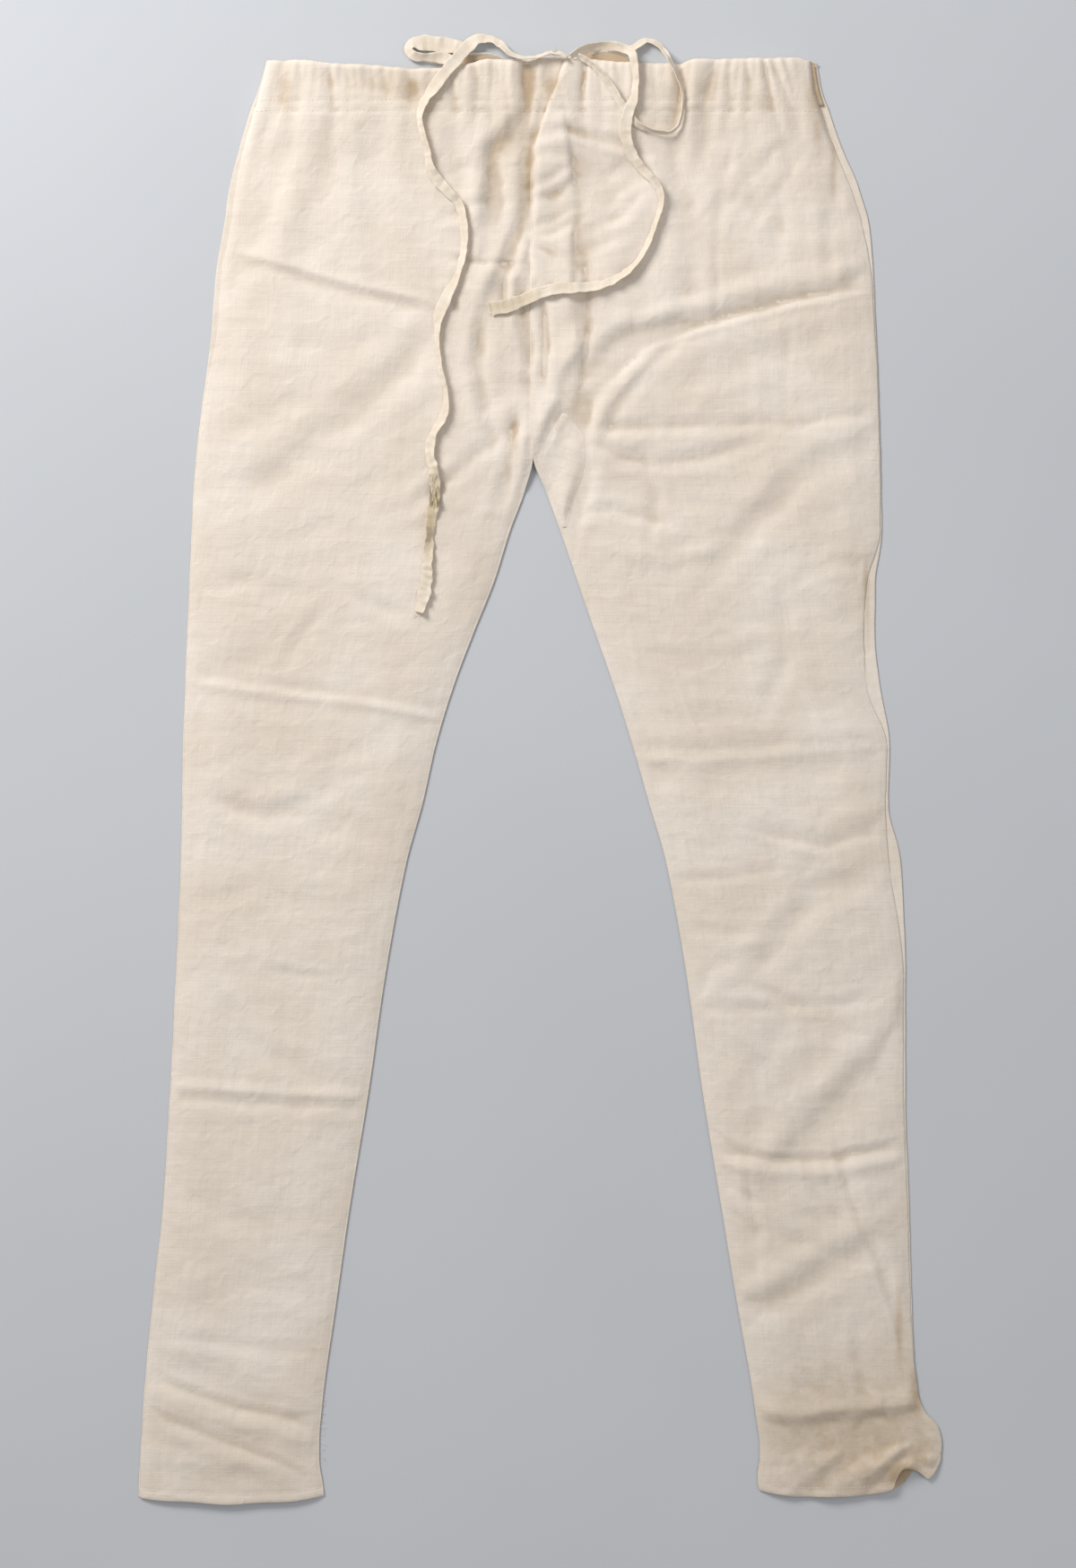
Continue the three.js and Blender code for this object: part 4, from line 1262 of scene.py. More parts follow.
def dress(piece: Piece, material: Material, slot: str,
          *nodes: str) -> Piece:
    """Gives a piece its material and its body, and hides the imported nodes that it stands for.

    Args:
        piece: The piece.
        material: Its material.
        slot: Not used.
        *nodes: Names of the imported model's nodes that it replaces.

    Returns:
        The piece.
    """
    piece.data.materials.append(material)
    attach(piece, BODY)
    if nodes:
        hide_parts(*nodes)
    log.info("%s: %d polygons", piece.name, len(piece.data.polygons))
    return piece


@dataclass
class FrontLeg:
    """One front half, a single cloth from its hem up and over the fold at the waist."""

    side: Side
    form: FrontForm
    last: float  # distance down of the last row, before it is drawn to the hem
    flat: tuple[float, float]
    area: float
    columns: int = 123
    row_step: float = 1.62
    fold_drop: float = 0.7  # the fold begins this far below its edge
    lap: float = 1.0  # the fronts reach this far past the centre seam
    tuck: float = 5.0  # the left front reaches this far under the right one in the casing
    lowest: float = 0.62  # the lower face stays this far above the surface
    thinnest: float = 0.25
    skip: int = 3  # the lower face has every third row and column of the upper one

    def edges(self, down: Array) -> tuple[Array, Array]:
        """Left and right edge of the panel, with a slight waver of seeded noise.

        Args:
            down: Distances down.

        Returns:
            Places across of the left edge and of the right one.
        """
        still = np.zeros(np.shape(down))
        waver = 0.4 * Rumple(51, 40, 15)(still, down) + 0.2 * Rumple(53, 40, 5.5)(still, down)
        if self.side is Side.LEFT:
            tuck = EDGES["right_inner"](down) - EDGES["left_inner"](down) + self.tuck
            tuck = np.maximum(self.lap, tuck * (1 - ease((down - 48) / 26)))
            return EDGES["left_front"](down) + waver, EDGES["left_inner"](down) + tuck
        return EDGES["right_inner"](down) - self.lap, EDGES["right_front"](down) + waver

    def hem(self, share: Array) -> Array:
        """Distance down of the hem at a share of the way across."""
        return left_front_hem(share) if self.side is Side.LEFT else right_hem(FRONT_HEM, share)

    def grid(self) -> tuple[Array, Array, Array]:
        """Places and fold angle of the panel's points, rows down and columns across.

        The first rows go round the fold at the waist by an angle from -35 to 90 degrees; the
        rest go down to the hem, to which they are drawn by the 20th power of their share.

        Returns:
            Places across, distances down and fold angles, in millimetres and radians.
        """
        turned = np.radians([FOLD_START, -12.0, 8.0, 26.0, 44.0, 62.0, 78.0])
        rows = np.arange(FOLD_DEPTH, self.last, self.row_step)
        at_hem = self.last - np.array([3.4, 2.2, 0.9, 0.3, 0.0])
        rows = np.concatenate([rows[rows < self.last - 4.8], at_hem])
        inset = FOLD_DEPTH * (1 - np.cos(turned)) * np.where(turned < 0, 0.4, 1.0)
        depth = np.concatenate([inset, rows])[:, None]
        angle = np.concatenate([turned, np.full(len(rows), np.pi / 2)])[:, None]
        share = edge_shares(self.columns)[None, :]
        down = depth + (self.hem(share) - self.last) * (depth / self.last) ** TO_HEM
        start, end = self.edges(down)
        across = start + (end - start) * share
        dip = WAIST(across) + 0.3 * self.form.gathers(across, 4.0)
        down = down + dip * np.maximum(0.0, 1 - depth / CASING_DEPTH)
        keep_rows = (across.shape[0] - 1) // self.skip * self.skip + 1
        return tuple(np.broadcast_to(part, across.shape)[-keep_rows:]
                     for part in (across, down, angle))

    def heights(self, across: Array, down: Array, angle: Array) -> Array:
        """Height of the upper face, with the fold, the centre lap and the rolled hem.

        The front's form goes down to the fold's edge by the sine of the fold angle. The lap is
        a smooth step down, and the grooves and the seam's ridge are bells across them.

        Args:
            across: Places across.
            down: Distances down.
            angle: Fold angles, in radians.

        Returns:
            The heights.
        """
        flat_down = np.maximum(down, WAIST(across) + 0.5)
        top = self.form.top(across, flat_down)
        seam = 1 - ease((down - CROTCH_DOWN + 6) / 10)
        if self.side is Side.LEFT:
            top = top - 0.55 * bell(EDGES["left_inner"](down) - across, 2.8) * seam
            under = ease((across - EDGES["left_inner"](down) + 5) / 11)
            top = top - 3.6 * (under * (1 - ease((down - 52) / 22)))
        else:
            aside = across - EDGES["right_inner"](down)
            top = top + 0.15 * bell(aside, 2.6) * seam
            step = bell(np.maximum(0.0, aside + 0.6), 1.5)
            top = top - 2.3 * step * (1 - ease((down - 48) / 24))
        share = (across - across[:, :1]) / (across[:, -1:] - across[:, :1])
        to_hem = self.hem(share) - down
        band = ease((7.0 - to_hem) / 2.0)
        groove = bell(to_hem, 0.9, HEM_STITCHES)
        top = top + (0.25 * band - 0.3 * groove) * ease((down - 900) / 60)
        top = top - 0.5 * bell(to_hem, 0.8)
        below = np.sin(np.minimum(angle, 0.0)) / math.sin(math.radians(FOLD_START))
        return np.where(angle < 0, FOLD_LOW - self.fold_drop * below,
                        FOLD_LOW + (top - FOLD_LOW) * np.sin(angle))

    def build(self, material: Material) -> Piece:
        """Makes the shell: the upper face, and a lower face one thickness along its normals.

        Args:
            material: The cloth's material.

        Returns:
            The panel.
        """
        across, down, angle = self.grid()
        height = self.heights(across, down, angle)
        upper = to_world(across, down, height)
        under = (slice(None, None, self.skip),) * 2
        lower = (upper - grid_normals(upper) * SHELL * MM)[under]
        lower[..., 2] = np.maximum(lower[..., 2], self.lowest * MM)
        lower[..., 2] = np.minimum(lower[..., 2], upper[under][..., 2] - self.thinnest * MM)
        # painted shade: how far a place lies below the mean height around it, faded at the free edges
        # and left off the fold
        hollow = box_blur(height, 4) * 0.6 + box_blur(height, 10) * 0.4 - height
        hollow = np.clip((hollow - 0.08) / 1.5, 0, 1)
        hollow = hollow * ease(self.form.edge_distance(across, down) / 9)
        hollow = np.where(angle < np.pi / 2, 0.0, hollow)
        # the stains add the painted shade of the hollows
        stain = np.clip(stain_and_shade_strength(across, down) + hollow * hollow_shade_share(across, down), 0, 1)
        side = self.side.value
        middle = (EDGES[f"{side}_front"](down) + EDGES[f"{side}_inner"](down)) / 2
        uv = np.stack([across - middle, -down], axis=-1) * MM
        # the lower face, which shows at the rolled edges, gets an even half share of painted shade
        made = shell(f"front_{side}", upper, lower, uv, (hollow, 0.5), (stain, stain[under]),
                     self.skip)
        dress(made, material, "cotton_cloth", f"front_{side}_leg", f"casing_front_{side}")
        return made


@dataclass
class BackLeg:
    """One back half, flat on the surface, from its hem up to the waist."""

    side: Side
    flat: tuple[float, float]
    area: float
    columns: int = 46
    row_step: float = 4.4
    last: float = 1003.0  # distance down of the last row, before it is drawn to the hem
    hem_down: float = 1007.4  # the left hem's lowest place
    curl: float = 1.9  # the waist edge turns up by this
    seam_gap: float = 0.15
    tallest: float = 0.75  # a crease of the underside rises by this at most

    def hem(self, share: Array) -> Array:
        """Distance down of the hem at a share of the way across."""
        return (left_hem(share, self.hem_down) if self.side is Side.LEFT
                else right_hem(BACK_HEM, share))

    def grid(self) -> tuple[Array, Array, Array]:
        """Places of the panel's points, rows down and columns across.

        The rows are drawn to the hem by the 20th power of their share.

        Returns:
            Places across, distances down, and distances from the waist edge, in millimetres.
        """
        at_waist = [0.0, 0.4, 1.1, 2.0, 3.2]
        at_hem = self.last - np.array([2.5, 1.0, 0.0])
        rows = np.arange(5.0, self.last - 4, self.row_step)
        depth = np.concatenate([at_waist, rows, at_hem])[:, None]
        share = edge_shares(self.columns)[None, :]
        down = depth + (self.hem(share) - self.last) * (depth / self.last) ** TO_HEM
        waver = 0.25 * Rumple(57, 40, 17)(np.zeros(down.shape), down)
        if self.side is Side.LEFT:
            start = EDGES["left_back"](down) + waver
            end = np.minimum(EDGES["left_inner"](down), CENTRE_SEAM - self.seam_gap)
        else:
            start = np.where(down < CROTCH_DOWN, CENTRE_SEAM + self.seam_gap,
                             EDGES["right_inner"](down))
            end = EDGES["right_back"](down) + waver
        across = start + (end - start) * share
        down = down + BACK_WAIST(across) * np.maximum(0.0, 1 - depth / CASING_DEPTH)
        return across, down, np.broadcast_to(depth, across.shape)

    def underside(self, across: Array, down: Array, depth: Array) -> Array:
        """Height of the lower face: flat, but for shallow creases that rise off the surface.

        It is the part above nought of two layers of seeded noise, faded to nothing within
        14 mm of the edges, with a groove along the stitching of the casing and the hem.

        Args:
            across: Places across.
            down: Distances down.
            depth: Distances from the waist edge.

        Returns:
            The heights.
        """
        low, high = across[:, :1], across[:, -1:]
        near = np.minimum(across - low, high - across)
        share = (across - low) / (high - low)
        to_hem = self.hem(share) - down
        inside = ease(near / 14) * ease(to_hem / 14) * ease(depth / 8)
        folds = np.maximum(0.0, 0.9 - 3.2 * np.abs(Rumple(61, 90, 46, 14)(across, down)))
        folds = folds + np.maximum(0.0, 0.5 * Rumple(67, 30, 20, -20)(across, down))
        grooves = 0.3 * bell(depth, 1.0, CASING_DEPTH)
        grooves = grooves + 0.3 * bell(to_hem, 0.9, HEM_STITCHES)
        curl = self.curl * (1 - ease(depth / 2.6))
        return np.minimum(folds, self.tallest) * inside + grooves + curl

    def build(self, material: Material) -> Piece:
        """Makes the shell, with its edges thinned by a hair so that they look soft.

        Args:
            material: The cloth's material.

        Returns:
            The panel.
        """
        across, down, depth = self.grid()
        under = self.underside(across, down, depth)
        share = (across - across[:, :1]) / (across[:, -1:] - across[:, :1])
        # within a hair of either edge, for a panel about 230 wide
        rim = bell(230 * np.minimum(share, 1 - share), 0.6)
        lower = to_world(across, down, under + 0.1 * rim)
        upper = to_world(across, down, under + SHELL - 0.12 * rim)
        stain = stain_and_shade_strength(across, down)
        middle = (across[:, :1] + across[:, -1:]) / 2
        uv = np.stack([across - middle, -down], axis=-1) * MM
        # painted shade: an even share on the upper face, and on the lower face by the height of its
        # creases
        hollow = np.clip(under / 4.0, 0, 0.2) * (depth > 3)
        side = self.side.value
        made = shell(f"back_{side}", upper, lower, uv, (0.12, hollow), (stain, 0.6 * stain))
        dress(made, material, "cotton_cloth", f"back_{side}_leg", "casing_back")
        return made


@dataclass
class TurnedEdge:
    """The cloth turned to the inside at the waist, which makes the channel of the casing."""

    name: str
    node: str
    start: str
    end: str
    floor: float
    waist: Curve
    flat: tuple[float, float]
    top_inset: float = 2.4
    depth: float = 34.0
    side_inset: float = 2.2
    seam_inset: float = 0.6

    def inset(self, edge: str) -> float:
        """How far the strip stays inside an edge of the outline: less at the centre seam."""
        return self.seam_inset if "inner" in edge else self.side_inset

    def build(self, material: Material) -> Piece:
        """Makes a flat strip with faint waves of seeded noise and a lip at its upper edge.

        Args:
            material: The material of the cloth's inside, the cloth's colours darkened as painted
                shade.

        Returns:
            The strip.
        """
        rows = np.concatenate([[0, 0.4, 1.0], np.linspace(2.5, self.depth - self.top_inset, 12)])
        down = (self.top_inset + rows)[:, None]
        low = EDGES[self.start](down) + self.inset(self.start)
        high = EDGES[self.end](down) - self.inset(self.end)
        across = low + (high - low) * edge_shares(120)[None, :]
        down = down + self.waist(across) * np.maximum(0.0, 1 - down / CASING_DEPTH)
        wave = 0.16 * Rumple(71, 16, 30)(across, down)
        lip = 0.35 * (1 - ease(rows / 2.0))[:, None]
        height = self.floor + wave + lip
        uv = np.stack([across, -down], axis=-1) * MM
        # the whole strip gets even painted shade through its hollow and stain values
        made = shell(self.name, to_world(across, down, height + SHELL),
                     to_world(across, down, height), uv, (0.55, 0.55), (0.275, 0.275))
        dress(made, material, "cotton_inside", self.node)
        return made


@dataclass
class Gusset:
    """The kite-shaped patch at the crotch, on the right front, with its edges sewn down."""

    form: FrontForm
    flat: tuple[float, float] = (0.033, 0.079)
    area: float = 0.00172
    lift: float = 0.85
    low: float = 0.2

    def place(self, share_across: Array, share_down: Array) -> tuple[Array, Array, Array]:
        """Places on the patch; its middle is lifted, and its edges are sewn down.

        Args:
            share_across: Shares of the way across it.
            share_down: Shares of the way down it.

        Returns:
            Places across, distances down and heights, in millimetres.
        """
        first, last = GUSSET[0, 0], GUSSET[-1, 0]
        down = first + share_down * (last - first)
        inner, outer = GUSSET_INNER(down), GUSSET_OUTER(down)
        across = inner + (outer - inner) * share_across
        near = np.minimum(np.minimum(across - inner, outer - across),
                          np.minimum(down - first, last - down))
        groove = 0.2 * bell(near, 0.8, 3.2)
        lift = self.low + (self.lift - self.low) * ease(near / 4.5) - groove
        return across, down, self.form.top(across, down) + lift

    def build(self, material: Material) -> Piece:
        """Makes the shell of the patch, cut on a slant to the weave.

        Args:
            material: The cloth's material.

        Returns:
            The patch.
        """
        across, down, height = self.place(edge_shares(18)[None, :], np.linspace(0, 1, 54)[:, None])
        across, down = np.broadcast_arrays(across, down)
        # painted shade in the patch's hollows, by how far a place lies below the mean height around it
        hollow = np.clip((box_blur(height, 3) - height) / 1.2, 0, 1)
        uv = np.stack([across + down * 0.35, across * 0.35 - down], axis=-1) * MM
        made = shell("gusset", to_world(across, down, height),
                     to_world(across, down, height - SHELL), uv, (hollow, hollow), (0.0, 0.0))
        dress(made, material, "cotton_cloth", "crotch_gusset")
        return made


# ---- drawstring ----

# Routes of the tape: across, down, strands beneath, roll in degrees (positive lifts the edge to
# the right of a run towards the hem), and share of the full width.
LEFT_TAIL = np.array([
    [19, 2.5, 0, 55, 0.6], [13, -0.5, 0, 50, 0.6], [7, -1.2, 0, 55, 0.6], [0, 1.0, 0, 55, 0.6],
    [-7, 2.2, 0, 55, 0.6], [-14, 2, 0, 50, 0.65], [-21.5, -1, 0, 42, 0.75],
    [-27, -7.5, 0, 35, 0.85], [-34, -12, 0, 30, 0.85], [-43, -12, 1, 24, 0.9],
    [-50, -6.5, 1, 12, 1.0], [-57, 2, 1, 4, 1.03], [-67, 14, 0.6, 6, 1.0],
    [-75.5, 25.5, 0, 18, 0.95], [-80.5, 33, 0, 32, 0.85], [-83.5, 42.5, 0, 45, 0.68],
    [-81.5, 55, 0, 45, 0.68], [-78.5, 65.5, 0, 42, 0.7], [-76, 79, 0, 30, 0.85],
    [-70.5, 87.5, 0, 16, 0.95], [-64, 95, 0, 26, 0.88], [-56.5, 103, 0, 36, 0.76],
    [-53, 118, 0, 38, 0.75], [-53, 135.5, 0, 42, 0.7], [-58, 154.5, 0, 40, 0.72],
    [-64, 166, 0, 16, 0.95], [-70, 180.5, 0, 22, 0.92], [-71.5, 196, 0, 50, 0.62],
    [-70, 214, 0, 50, 0.62], [-65.5, 233, 0, 50, 0.62], [-66.5, 249, 0, 36, 0.76],
    [-74.5, 264, 0, 30, 0.78], [-77, 276, 0, 26, 0.85], [-73.5, 290, 0, 18, 0.9],
    [-73, 307, 0, 8, 0.95], [-75.5, 321, 0, -12, 0.95], [-77, 335, 0, -32, 0.76],
    [-78, 350.5, 0, 10, 0.92], [-79.5, 370, 0, 8, 0.95], [-84, 387.5, 0, 4, 1.0],
])
RIGHT_TAIL = np.array([
    [21, 1.5, 0, 50, 0.65], [32, -5, 0, 40, 0.75], [44.5, -7.5, 0, 34, 0.8],
    [55.5, -6, 1, 32, 0.78], [63, -1.5, 1, 34, 0.75], [66, 10, 0.4, 40, 0.72],
    [66.5, 21, 0.4, 42, 0.68], [64.5, 32, 1, 26, 0.78], [61, 41, 1, 6, 1.0],
    [59, 51, 0.6, 4, 1.02], [60.5, 60, 0, 14, 0.95], [64, 69.5, 0, 22, 0.9],
    [72, 80, 0, 35, 0.78], [81, 90, 0, 38, 0.75], [84.5, 99, 0, 48, 0.65],
    [83.5, 107, 0, 50, 0.62], [79.5, 119, 0, 50, 0.62], [74, 133, 0, 46, 0.65],
    [65, 146.5, 0, 44, 0.66], [53.5, 155, 0, 32, 0.8], [39, 160.5, 0, 26, 0.86],
    [24, 162, 0, 14, 0.95], [8, 163, 0, 10, 0.95], [-4, 166.5, 0, 5, 1.05],
    [-14, 171, 0, 0, 1.12], [-23.5, 174, 0, 0, 1.18], [-34, 176, 0, 0, 1.2],
])
LEFT_LOOP = np.array([
    [-52.5, -5.2, 0, 14, 1.0], [-58, -6.6, 0, 10, 1.1], [-64, -7.8, 0, 8, 1.25],
    [-70, -8.6, 0, 6, 1.35], [-77, -9.6, 0, 6, 1.3], [-83.5, -9.6, 0, 8, 1.3],
    [-89.4, -9.0, 0, 24, 0.95], [-91.6, -5.0, 0, 34, 0.74], [-89.2, -1.2, 0, 30, 0.82],
    [-83.5, 0.5, 0, 28, 0.76], [-77, 0.9, 0, 28, 0.76], [-70, 1.0, 0, 22, 0.94],
    [-64, 2.4, 0, 20, 0.96], [-60, 4.6, 0, 20, 0.88],
])
RIGHT_LOOP = np.array([
    [26, 0.5, 0, 46, 0.55], [31, 3.4, 0, 46, 0.58], [37.5, 8.2, 0, 44, 0.6],
    [44, 15, 0, 42, 0.62], [49.8, 23, 0, 38, 0.66], [55, 32, 0, 30, 0.72],
    [60.5, 40, 0, 24, 0.74], [66.5, 47.4, 0, 34, 0.66], [74, 51.4, 0, 52, 0.54],
    [82.8, 53.3, 0, 62, 0.48], [90.4, 53.2, 0, 64, 0.46], [96, 48.6, 0, 66, 0.42],
    [98.4, 40.5, 0, 68, 0.4], [98.8, 31, 0, 68, 0.4], [97.3, 21.5, 0, 66, 0.42],
    [94.2, 13, 0, 58, 0.5], [90.4, 5.4, 0, 50, 0.56], [86.6, -2.2, 0, 46, 0.58],
    [81.8, -8.6, 0, 44, 0.58], [74.4, -11.4, 0, 44, 0.58], [67.6, -7.8, 0, 34, 0.66],
    [62.5, -4.4, 0, 24, 0.76],
])


# Olive places on the left tail: down, reach, strength
OLIVE = ((308, 9, 0.9), (294, 6, 0.6), (328, 5, 0.35))


def windows(values: Array, reach: int) -> Array:
    """Each value's neighbours within reach, by their place in the window, as rows of an array."""
    wide = np.pad(values, reach, "edge")
    return np.stack([wide[k:k + len(values)] for k in range(2 * reach + 1)])


def even_route(table: Array, step: float) -> Array:
    """Rows of a table, carried along a smooth curve through its places in even steps.

    It is a centripetal Catmull-Rom curve: between two rows, a cubic whose end slopes come from
    the neighbours, over knots spaced by the square root of the distance.

    Args:
        table: Rows of which the first two numbers are a place.
        step: The distance between the given rows, in millimetres.

    Returns:
        The rows, evenly spaced along the curve.
    """
    knots = np.concatenate([[0], np.cumsum(np.sqrt(np.hypot(*np.diff(table[:, :2], axis=0).T)))])
    slope = np.gradient(table, knots, axis=0)
    fine = np.linspace(0, knots[-1], 40 * len(table))
    k = np.clip(np.searchsorted(knots, fine, side="right") - 1, 0, len(knots) - 2)
    span = (knots[k + 1] - knots[k])[:, None]
    t = (fine - knots[k])[:, None] / span
    rows = (table[k] * (1 + 2 * t) * (1 - t) ** 2 + table[k + 1] * t * t * (3 - 2 * t)
            + slope[k] * span * t * (1 - t) ** 2 - slope[k + 1] * span * t * t * (1 - t))
    walked = np.concatenate([[0], np.cumsum(np.hypot(*np.diff(rows[:, :2], axis=0).T))])
    even = np.linspace(0, walked[-1], max(3, round(walked[-1] / step) + 1))
    return np.stack([np.interp(even, walked, column) for column in rows.T], axis=1)


@dataclass
class DrawstringRun:
    """One stretch of the drawstring that shows, a limp flat tape on the cloth."""

    name: str
    route: Array
    far_end: str
    form: FrontForm
    seed: int
    width: float = 8.5
    thickness: float = 0.75
    rest: float = 0.5  # the tape lies this far off the cloth
    strand: float = 1.7  # height that a strand beneath takes
    waist_slope: float = 9.0  # beyond the waist, what lies beneath ends over this distance
    step: float = 1.2

    def limp(self, down: Array) -> Array:
        """How much the tape wavers: once by the waist, nearly twice below the crotch."""
        return 1 + 0.9 * ease((down - 255) / 30)

    def support(self, across: Array, down: Array) -> Array:
        """Height of what lies beneath: the front, its fold at the waist, and the slope beyond it.

        The fold is a quarter of an ellipse that starts at the edge's height.

        Args:
            across: Places across.
            down: Places down.

        Returns:
            The height.
        """
        depth = down - WAIST(across)
        turn = np.sqrt(1 - (1 - np.clip(depth / FOLD_DEPTH, 0.0, 1.0)) ** 2)
        top = self.form.top(across, np.maximum(down, 3.0))
        slope = np.maximum(0.0, 1 + depth / self.waist_slope)
        return np.where(depth >= 0, FOLD_LOW + (top - FOLD_LOW) * turn, FOLD_LOW * slope)

    def lie(self, rows: Array) -> tuple[Array, Array, Array]:
        """How the tape lies.

        It rests on the highest place under its width, eased by a running largest and then a
        running mean, and a rolled tape stands higher by three quarters of its half width's rise.

        Args:
            rows: The route, in even steps.

        Returns:
            The centreline, in millimetres, and unit vectors across the tape and off its face.
        """
        tangent = np.gradient(rows[:, :2], axis=0)
        tangent /= np.linalg.norm(tangent, axis=1, keepdims=True)
        # the place's second number grows towards -Y, so sideways is (down part, -across part)
        side = np.stack([tangent[:, 1], -tangent[:, 0]], axis=1)
        noise = Rumple(self.seed, 14, 14)(rows[:, 0], rows[:, 1])
        quick = Rumple(self.seed + 3, 5.5, 5.5)(rows[:, 0], rows[:, 1])
        roll = np.radians(rows[:, 3] + (10 * noise + 9 * quick) * self.limp(rows[:, 1]))
        half = 0.5 * self.width * rows[:, 4] * np.cos(roll)
        spots = np.linspace(-1, 1, 5)[None, :]
        under = self.support(rows[:, :1] + side[:, :1] * half[:, None] * spots,
                             rows[:, 1:2] + side[:, 1:] * half[:, None] * spots).max(axis=1)
        under = windows(windows(under, 6).max(axis=0), 3).mean(axis=0)
        rise = 0.5 * self.width * rows[:, 4] * np.abs(np.sin(roll)) * 0.75
        height = under + self.rest + rows[:, 2] * self.strand + 0.5 * self.thickness + rise
        centre = np.stack([rows[:, 0], GARMENT_LENGTH / 2 - rows[:, 1], height], axis=1)
        level = np.stack([side[:, 0], -side[:, 1], np.zeros(len(rows))], axis=1)
        up = np.array([0.0, 0.0, 1.0])
        cos, sin = np.cos(roll)[:, None], np.sin(roll)[:, None]
        return centre, level * cos + up * sin, up * cos - level * sin

    def build(self, material: Material) -> Piece:
        """Makes the closed tube of the tape, cupped a little, with thicker folded edges.

        A ring is a flat section of the tape, cupped by the square of the place across it. Seeded
        noise waves its edges and its width.

        Args:
            material: The tape's material.

        Returns:
            The tape.
        """
        rows = even_route(self.route, self.step)
        centre, side, up = self.lie(rows)
        count = len(centre)
        across = np.array([-0.5, -0.47, -0.4, -0.25, 0.0, 0.25, 0.4, 0.47, 0.5])
        edge = np.array([0.35, 0.9, 1.15, 0.9, 0.8, 0.9, 1.15, 0.9, 0.35])
        u = np.concatenate([across, across[-2:0:-1]])
        lift = np.concatenate([edge, -edge[-2:0:-1]]) * 0.5 * self.thickness
        along = np.arange(count)[:, None] * self.step
        limp = self.limp(rows[:, 1:2])
        still = np.zeros((count, 1))
        frill = 0.34 * limp * Rumple(self.seed + 5, 1.0, 5.2)(np.sign(u)[None, :] * 3.0, along)
        crimp = 0.34 * limp * Rumple(self.seed + 11, 9.0, 3.6)(u[None, :] * 8.5, along)
        cup = 0.5 + 0.6 * Rumple(self.seed + 7, 10, 13)(still, along)
        swell = 1 + 0.14 * limp * Rumple(self.seed + 9, 10, 9)(still, along)
        width = self.width * rows[:, 4:5] * u[None, :] * swell * (1 + frill * 0.4)
        sag = lift[None, :] + cup * (4 * u[None, :] ** 2) * 0.5 + frill * 0.5 + crimp
        rings = (centre[:, None, :] + side[:, None, :] * width[..., None]
                 + up[:, None, :] * sag[..., None])
        rings[..., 2] = np.maximum(rings[..., 2], 0.05)
        uv = np.stack([np.broadcast_to(u * self.width, rings.shape[:2]),
                       np.broadcast_to(along, rings.shape[:2])], axis=-1) * MM
        down = np.broadcast_to(rows[:, 1:2], rings.shape[:2])
        # painted shade along the tape's middle, where it is cupped
        stain = np.broadcast_to(0.25 * bell(u, 0.25), down.shape)
        olive = np.zeros(down.shape)
        if self.name == "tape_left_tail":
            olive = sum(strength * bell(down, reach, place)
                        for place, reach, strength in OLIVE)
            stain = stain + 0.6 * bell(down, 34, 320)
        if self.name == "tape_right_tail":
            stain = stain + 0.35 * bell(rows[:, :1], 26, -20) * (down > 150)
        made = tubes(self.name, rings[None] * MM, uv, {"stain": stain, "olive": olive})
        dress(made, material, "cotton_tape", self.name.replace("tape_", "drawstring_"))
        self.width * MM
        return made


# ---- sewing ----

def thread_axes(direction: Array) -> tuple[Array, Array, Array]:
    """Unit vectors along threads, level across them, and square to both, by cross products.

    Args:
        direction: Vectors along the threads, none of them upright.

    Returns:
        The three, in the shape of the input.
    """
    def unit(vectors: Array) -> Array:
        """Vectors of length 1."""
        return vectors / np.linalg.norm(vectors, axis=-1, keepdims=True)

    ahead = unit(direction)
    side = unit(np.cross(np.array([0.0, 0.0, 1.0]), ahead))
    return ahead, side, np.cross(ahead, side)


def rings_round(middle: Array, side: Array, up: Array, radius: Array) -> Array:
    """Six-cornered rings round the middle lines of threads.

    A corner is the middle plus the radius times (side x cosine + up x sine) of its angle.

    Args:
        middle: Points, by thread and ring.
        side: Unit vectors across the threads.
        up: Unit vectors square to those and to the threads.
        radius: The rings' radii along a thread.

    Returns:
        Rings in millimetres, by thread, ring and corner.
    """
    turn = np.radians(np.arange(0, 360, 60))[:, None]
    ring = side[..., None, :] * np.cos(turn) + up[..., None, :] * np.sin(turn)
    return middle[..., None, :] + ring * radius[:, None, None]


def stitch_rings(places: Array, length: float, radius: float) -> Array:
    """Rings of small threads that lie along a line of points.

    Each stitch is centred on a place and points at the next. Its radius goes by the square
    root of a circle's height from end to end, and its ends sink by the square of the way out.

    Args:
        places: Points, evenly spaced.
        length: Length of a stitch.
        radius: Its half thickness.

    Returns:
        Rings in millimetres, by stitch, ring and corner.
    """
    ahead, side, up = (axis[:, None, :] for axis in thread_axes(np.gradient(places, axis=0)))
    t = np.array([-1.0, -0.8, 0.0, 0.8, 1.0])[:, None]
    middle = places[:, None, :] + ahead * (t * length / 2) + up * (-0.9 * radius * t * t)
    return rings_round(middle, side, up, radius * np.sqrt(np.maximum(0.04, 1 - t[:, 0] ** 2 * 0.97)))


